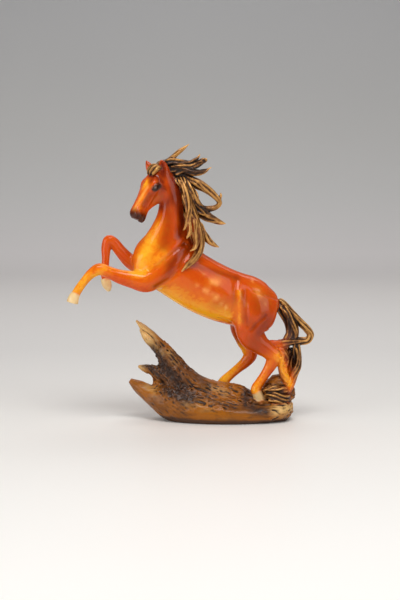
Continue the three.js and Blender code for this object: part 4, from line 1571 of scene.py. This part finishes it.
@dataclass(frozen=True)
class LacqueredWood(Coating):
    """Streaked oak and walnut, with pale bare wood, bark, a dark rim at the foot and dark cracks, and painted
    shade round the near hind hoof.
    """

    name: str = "driftwood"
    specular: float = 0.2
    coat: float = 0.1
    pore_strength: float = 0.25
    streak: Pattern = Pattern(55, 5, 1.6, (1, 3, 5))
    stain_level: float = 0.12
    stain_edge: float = 1.8
    pale_level: float = 0.05
    pale_streak: float = 0.7
    bark_marble: float = 1.6
    rim_height: float = 0.0036
    rim_edge: float = 700.0
    rim_streak: float = 1.4
    rim_slope: float = -14.0
    rim_strength: float = 0.85
    crack_height: float = 0.49
    crack_edge: float = 5.0

    def colour(self, graph: Graph, clouds: Clouds) -> Wire:
        """Mixes the finish's colour.

        Args:
            graph: The graph to add the nodes to.
            clouds: Its patterns.

        Returns:
            The colour.
        """
        streak = graph.noise(self.streak)
        stain = ((streak + clouds.swirl) * self.stain_edge + self.stain_level).clipped()
        pale = (graph.attribute("pale") + streak * self.pale_streak - self.pale_level).clipped()
        bark = graph.attribute("bark")
        scales = (bark + clouds.marble * bark * self.bark_marble).clipped()
        rim = (self.rim_height - graph.axis("Z")) * self.rim_edge + streak * self.rim_streak
        rim = (rim + graph.axis("X") * self.rim_slope).clipped() * self.rim_strength
        crack = ((self.crack_height - clouds.height) * self.crack_edge).clipped()
        colour = graph.mixed(stain, PALETTE.oak, PALETTE.walnut)
        colour = graph.mixed(pale, colour, PALETTE.straw)
        for mask in (scales, rim, crack):
            colour = graph.mixed(mask, colour, PALETTE.bark)
        return colour


@dataclass(frozen=True)
class IvoryHoof(Coating):
    """Ivory that turns to straw in places and to oak in the shade."""

    name: str = "ivory_hoof"
    coat: float = 0.2
    soft: float = 0.1
    straw: float = 0.5

    def colour(self, graph: Graph, clouds: Clouds) -> Wire:
        """Mixes the finish's colour.

        Args:
            graph: The graph to add the nodes to.
            clouds: Its patterns.

        Returns:
            The colour.
        """
        colour = graph.mixed((self.straw - clouds.fine).clipped(), PALETTE.ivory, PALETTE.straw)
        return graph.mixed(graph.attribute("shade"), colour, PALETTE.oak)


COATINGS: dict[Finish, Coating] = {
    Finish.AMBER: AmberResin(),
    Finish.GILT: GiltHair(),
    Finish.WOOD: LacqueredWood(),
    Finish.HORN: IvoryHoof(),
}


def whole_colour(graph: Graph) -> Wire:
    """Mixes the colours of all the finishes by the masks that the mesh carries.

    Args:
        graph: The graph to add the nodes to.

    Returns:
        The colour of the whole casting.
    """
    clouds = Clouds(graph)
    colour = COATINGS[Finish.AMBER].colour(graph, clouds)
    for finish in LAYERS:
        layer = COATINGS[finish].colour(graph, clouds)
        colour = graph.mixed(graph.attribute(finish.value), colour, layer)
    return colour


@dataclass
class Casting:
    """The whole statuette, joined from its fields into one mesh."""

    name: str = "rearing_horse_casting"
    low: tuple[float, float, float] = (-160, -52, -7)
    high: tuple[float, float, float] = (94, 40, 282)
    pitch: float = 0.66
    band: float = 6.6
    most_triangles: int = 190000
    head_blend: float = 3.0
    hoof_blend: float = 0.6
    hair_blend: float = 1.0
    foot_blend: float = 1.2
    mask_edge: tuple[float, float] = (-0.5, 0.7)
    ridge_gain: float = 0.6
    ridge_blur: int = 4
    tint_names: tuple[str, ...] = ("glow", "deep", "pale", "bark", "rust", "shade", "inclusion")

    def sculpt(self) -> bpy.types.Object:
        """Models every part, joins them, and paints them.

        Returns:
            The casting's object.
        """
        volume = Volume(self.low, self.high, self.pitch, self.band)
        horse, head = Horse(), Head()
        body = volume.joined(horse.body(volume), head.model(volume), self.head_blend)
        hooves = horse.hooves(volume)
        hair = Hair().model(volume)
        wood = Driftwood().model(volume)
        whole = volume.joined(body, hooves, self.hoof_blend)
        whole = volume.joined(whole, hair, self.hair_blend)
        whole = volume.joined(whole, wood, self.foot_blend)
        floor = volume.low[2] + self.pitch * np.arange(volume.shape[2], dtype=np.float32)
        whole = np.maximum(whole, -floor[None, None, :])
        piece = self.mesh(*volume.surface(whole))
        self.thin(piece)
        points = np.zeros(len(piece.data.vertices) * 3)
        piece.data.vertices.foreach_get("co", points)
        points = points.reshape(-1, 3) / SQUARE
        ridge = 0.5 + self.ridge_gain * volume.sample(volume.blurred(whole, self.ridge_blur), points)
        parts = {Finish.GILT: hair, Finish.WOOD: wood, Finish.HORN: hooves, Finish.AMBER: body}
        away = {finish: volume.sample(field, points) for finish, field in parts.items()}
        dark, glint = head.tones(points)
        masks = self.masks(away, points)
        masks |= {"ridge": np.clip(ridge, 0, 1), "dark": dark, "glint": glint}
        self.paint(piece.data, masks)
        return piece

    def masks(self, away: dict[Finish, Array], points: Array) -> dict[str, Array]:
        """Finds which finish each place has, and its tints.

        Args:
            away: The distances from the places to the part with each finish.
            points: The places, in squares.

        Returns:
            The masks and tints, from 0 to 1.
        """
        masks = {}
        for finish in LAYERS:
            rest = np.minimum.reduce([value for other, value in away.items() if other is not finish])
            masks[finish.value] = ease(rest - away[finish], *self.mask_edge)
        colouring = Colouring()
        masks[Finish.GILT.value] *= 1 - laid(colouring.bare, points)
        for name in self.tint_names:
            masks[name] = laid(getattr(colouring, name), points)
        return masks

    def paint(self, mesh: bpy.types.Mesh, masks: dict[str, Array]) -> None:
        """Gives the mesh its masks, and each face the material of the part that covers most of it.

        Args:
            mesh: The casting's mesh.
            masks: A value for each vertex, by name.
        """
        for name, values in masks.items():
            layer = mesh.attributes.new(name, "FLOAT", "POINT")
            layer.data.foreach_set("value", values.astype(np.float32))
        for finish in Finish:
            mesh.materials.append(COATINGS[finish].material())
        corners = np.zeros(len(mesh.loops), np.int32)
        mesh.loops.foreach_get("vertex_index", corners)
        starts = np.zeros(len(mesh.polygons), np.int32)
        mesh.polygons.foreach_get("loop_start", starts)
        weights = np.stack([np.add.reduceat(masks[layer.value][corners], starts) for layer in LAYERS])
        totals = np.diff(np.append(starts, len(corners)))
        slots = np.where(weights.max(0) > totals * 0.5, weights.argmax(0) + 1, 0)
        mesh.polygons.foreach_set("material_index", slots.astype(np.int32))

    def mesh(self, points: Array, quads: Array) -> bpy.types.Object:
        """Makes the casting's object.

        Args:
            points: The places of its vertices, in squares.
            quads: The vertices of its four-sided faces.

        Returns:
            The object, in metres.
        """
        mesh = bpy.data.meshes.new(self.name)
        mesh.vertices.add(len(points))
        mesh.vertices.foreach_set("co", (points * SQUARE).astype(np.float32).ravel())
        mesh.loops.add(quads.size)
        mesh.loops.foreach_set("vertex_index", quads[:, ::-1].astype(np.int32).ravel())
        mesh.polygons.add(len(quads))
        mesh.polygons.foreach_set("loop_start", np.arange(0, quads.size, 4, dtype=np.int32))
        mesh.update(calc_edges=True)
        mesh.validate()
        piece = bpy.data.objects.new(self.name, mesh)
        bpy.context.scene.collection.objects.link(piece)
        return piece

    def thin(self, piece: bpy.types.Object) -> None:
        """Brings the mesh under its number of triangles, keeping most where it is carved.

        Args:
            piece: The casting's object.
        """
        modifier = piece.modifiers.new("thin", "DECIMATE")
        modifier.ratio = min(1.0, self.most_triangles / (2 * len(piece.data.polygons)))
        evaluated = piece.evaluated_get(bpy.context.evaluated_depsgraph_get())
        thinned = bpy.data.meshes.new_from_object(evaluated)
        piece.modifiers.clear()
        piece.data = thinned
        thinned.shade_smooth()


@dataclass(frozen=True)
class Light:
    """A soft light, at a direction in degrees to the right of the camera's and above the floor."""

    name: str
    azimuth: float
    elevation: float
    size: tuple[float, float]
    power: float
    aim: tuple[float, float, float] = MIDDLE
    distance: float = 0.9

    def build(self) -> None:
        """Makes the light and faces it to its aim."""
        data = bpy.data.lights.new(self.name, "AREA")
        data.shape = "RECTANGLE"
        data.size, data.size_y = self.size
        data.energy = self.power
        light = bpy.data.objects.new(self.name, data)
        turn, rise = math.radians(self.azimuth), math.radians(self.elevation)
        away = Vector((math.sin(turn) * math.cos(rise), -math.cos(turn) * math.cos(rise), math.sin(rise)))
        light.location = Vector(self.aim) + self.distance * away
        light.rotation_euler = (-away).to_track_quat("-Z", "Y").to_euler()
        bpy.context.scene.collection.objects.link(light)


@dataclass(frozen=True)
class Floor:
    """A level floor that curves up into a backdrop, in metres."""

    reach: float = 6.0
    back: float = 1.0
    bend: float = 0.5
    top: float = 1.4
    steps: int = 14
    rough: float = 0.45
    mottle: Pattern = Pattern(6, 2)
    # painted light: brighter at the front of the floor, darker towards the top of the backdrop
    painted_light_falloff: tuple[tuple[float, tuple[float, ...]], ...] = (
        (0.02, (0.97, 0.94, 0.9)), (0.15, (0.87, 0.84, 0.8)), (0.27, (0.8, 0.77, 0.745)),
        (0.46, (0.86, 0.82, 0.795)), (0.6, (0.88, 0.84, 0.83)), (0.69, (0.77, 0.755, 0.74)),
        (0.79, (0.67, 0.66, 0.645)), (0.91, (0.55, 0.547, 0.55)),
    )
    shades_run: float = 2.6
    shades_start: float = 0.4
    rise: float = 1.2
    blotch: float = 0.03

    def build(self) -> None:
        """Makes the floor and stages it."""
        profile = [(-self.reach, 0.0), (self.back, 0.0)]
        profile += [(self.back + self.bend * math.sin(angle), self.bend - self.bend * math.cos(angle))
                    for angle in np.linspace(0.1, math.pi / 2, self.steps)]
        profile += [(self.back + self.bend, self.top)]
        points = [(x, y, z) for y, z in profile for x in (-self.reach, self.reach)]
        faces = [(2 * i, 2 * i + 1, 2 * i + 3, 2 * i + 2) for i in range(len(profile) - 1)]
        mesh = bpy.data.meshes.new("floor")
        mesh.from_pydata(points, [], faces)
        mesh.shade_smooth()
        mesh.materials.append(self.material())
        floor = bpy.data.objects.new("floor", mesh)
        bpy.context.scene.collection.objects.link(floor)

    def material(self) -> bpy.types.Material:
        """Makes the floor's shading.

        Returns:
            A pale material, painted light: brighter at the front of the floor and darker towards the top of
                the backdrop.
        """
        graph = Graph("backdrop")
        run = graph.axis("Y") + graph.axis("Z") * self.rise + self.shades_start
        run = (run + graph.noise(self.mottle) * self.blotch) * (1 / self.shades_run)
        colour = graph.ramp(run.clipped(), *self.painted_light_falloff)
        shader = graph.node("ShaderNodeBsdfPrincipled", {}, {"Base Color": colour, "Roughness": self.rough})
        graph.node("ShaderNodeOutputMaterial", {}, {"Surface": shader})
        return graph.material


@dataclass(frozen=True)
class Studio:
    """The floor, the soft lights, the dim surroundings and the camera at the photograph's angle."""

    floor: Floor = Floor()
    lights: tuple[Light, ...] = (
        Light("left", -53, 9, (0.7, 0.6), 3.8),
        Light("right", 52, 22, (0.5, 0.75), 2.1),
        Light("top", 8, 58, (0.6, 0.4), 5.0),
        Light("behind", 170, 60, (0.8, 0.5), 2.0),
        Light("backdrop", 0, 60, (1.8, 0.7), 2.7, (0.0, 1.15, 0.1)),
    )
    sky: tuple[float, ...] = (0.8, 0.8, 0.8, 1)
    sky_strength: float = 0.2
    lens: float = 85.0
    sensor: float = 36.0
    elevation: float = 6.0
    distance: float = 0.85

    def build(self) -> None:
        """Makes the floor, the lights, the surroundings and the camera."""
        self.floor.build()
        self.camera()
        for light in self.lights:
            light.build()
        world = bpy.data.worlds.new("studio")
        world.use_nodes = True
        sky = world.node_tree.nodes["Background"]
        sky.inputs["Color"].default_value = self.sky
        sky.inputs["Strength"].default_value = self.sky_strength
        bpy.context.scene.world = world
        bpy.context.scene.view_settings.view_transform = "Standard"

    def camera(self) -> None:
        """Makes the camera and faces it to the middle of the statuette."""
        data = bpy.data.cameras.new("camera")
        data.lens = self.lens
        data.sensor_width = self.sensor
        camera = bpy.data.objects.new("camera", data)
        rise = math.radians(self.elevation)
        target = Vector(MIDDLE)
        camera.location = target + Vector((0, -math.cos(rise), math.sin(rise))) * self.distance
        camera.rotation_euler = (target - camera.location).to_track_quat("-Z", "Y").to_euler()
        bpy.context.scene.collection.objects.link(camera)
        bpy.context.scene.camera = camera


def main() -> None:
    """Builds the casting and the studio, and reports each piece."""
    logging.basicConfig(level=logging.INFO, format="%(relativeCreated)6d %(message)s", force=True)
    piece = Casting().sculpt()
    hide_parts(NODE)
    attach(piece, "root")
    LOG.info("%s: %d faces", piece.name, len(piece.data.polygons))
    Studio().build()


if __name__ == "__main__":
    main()
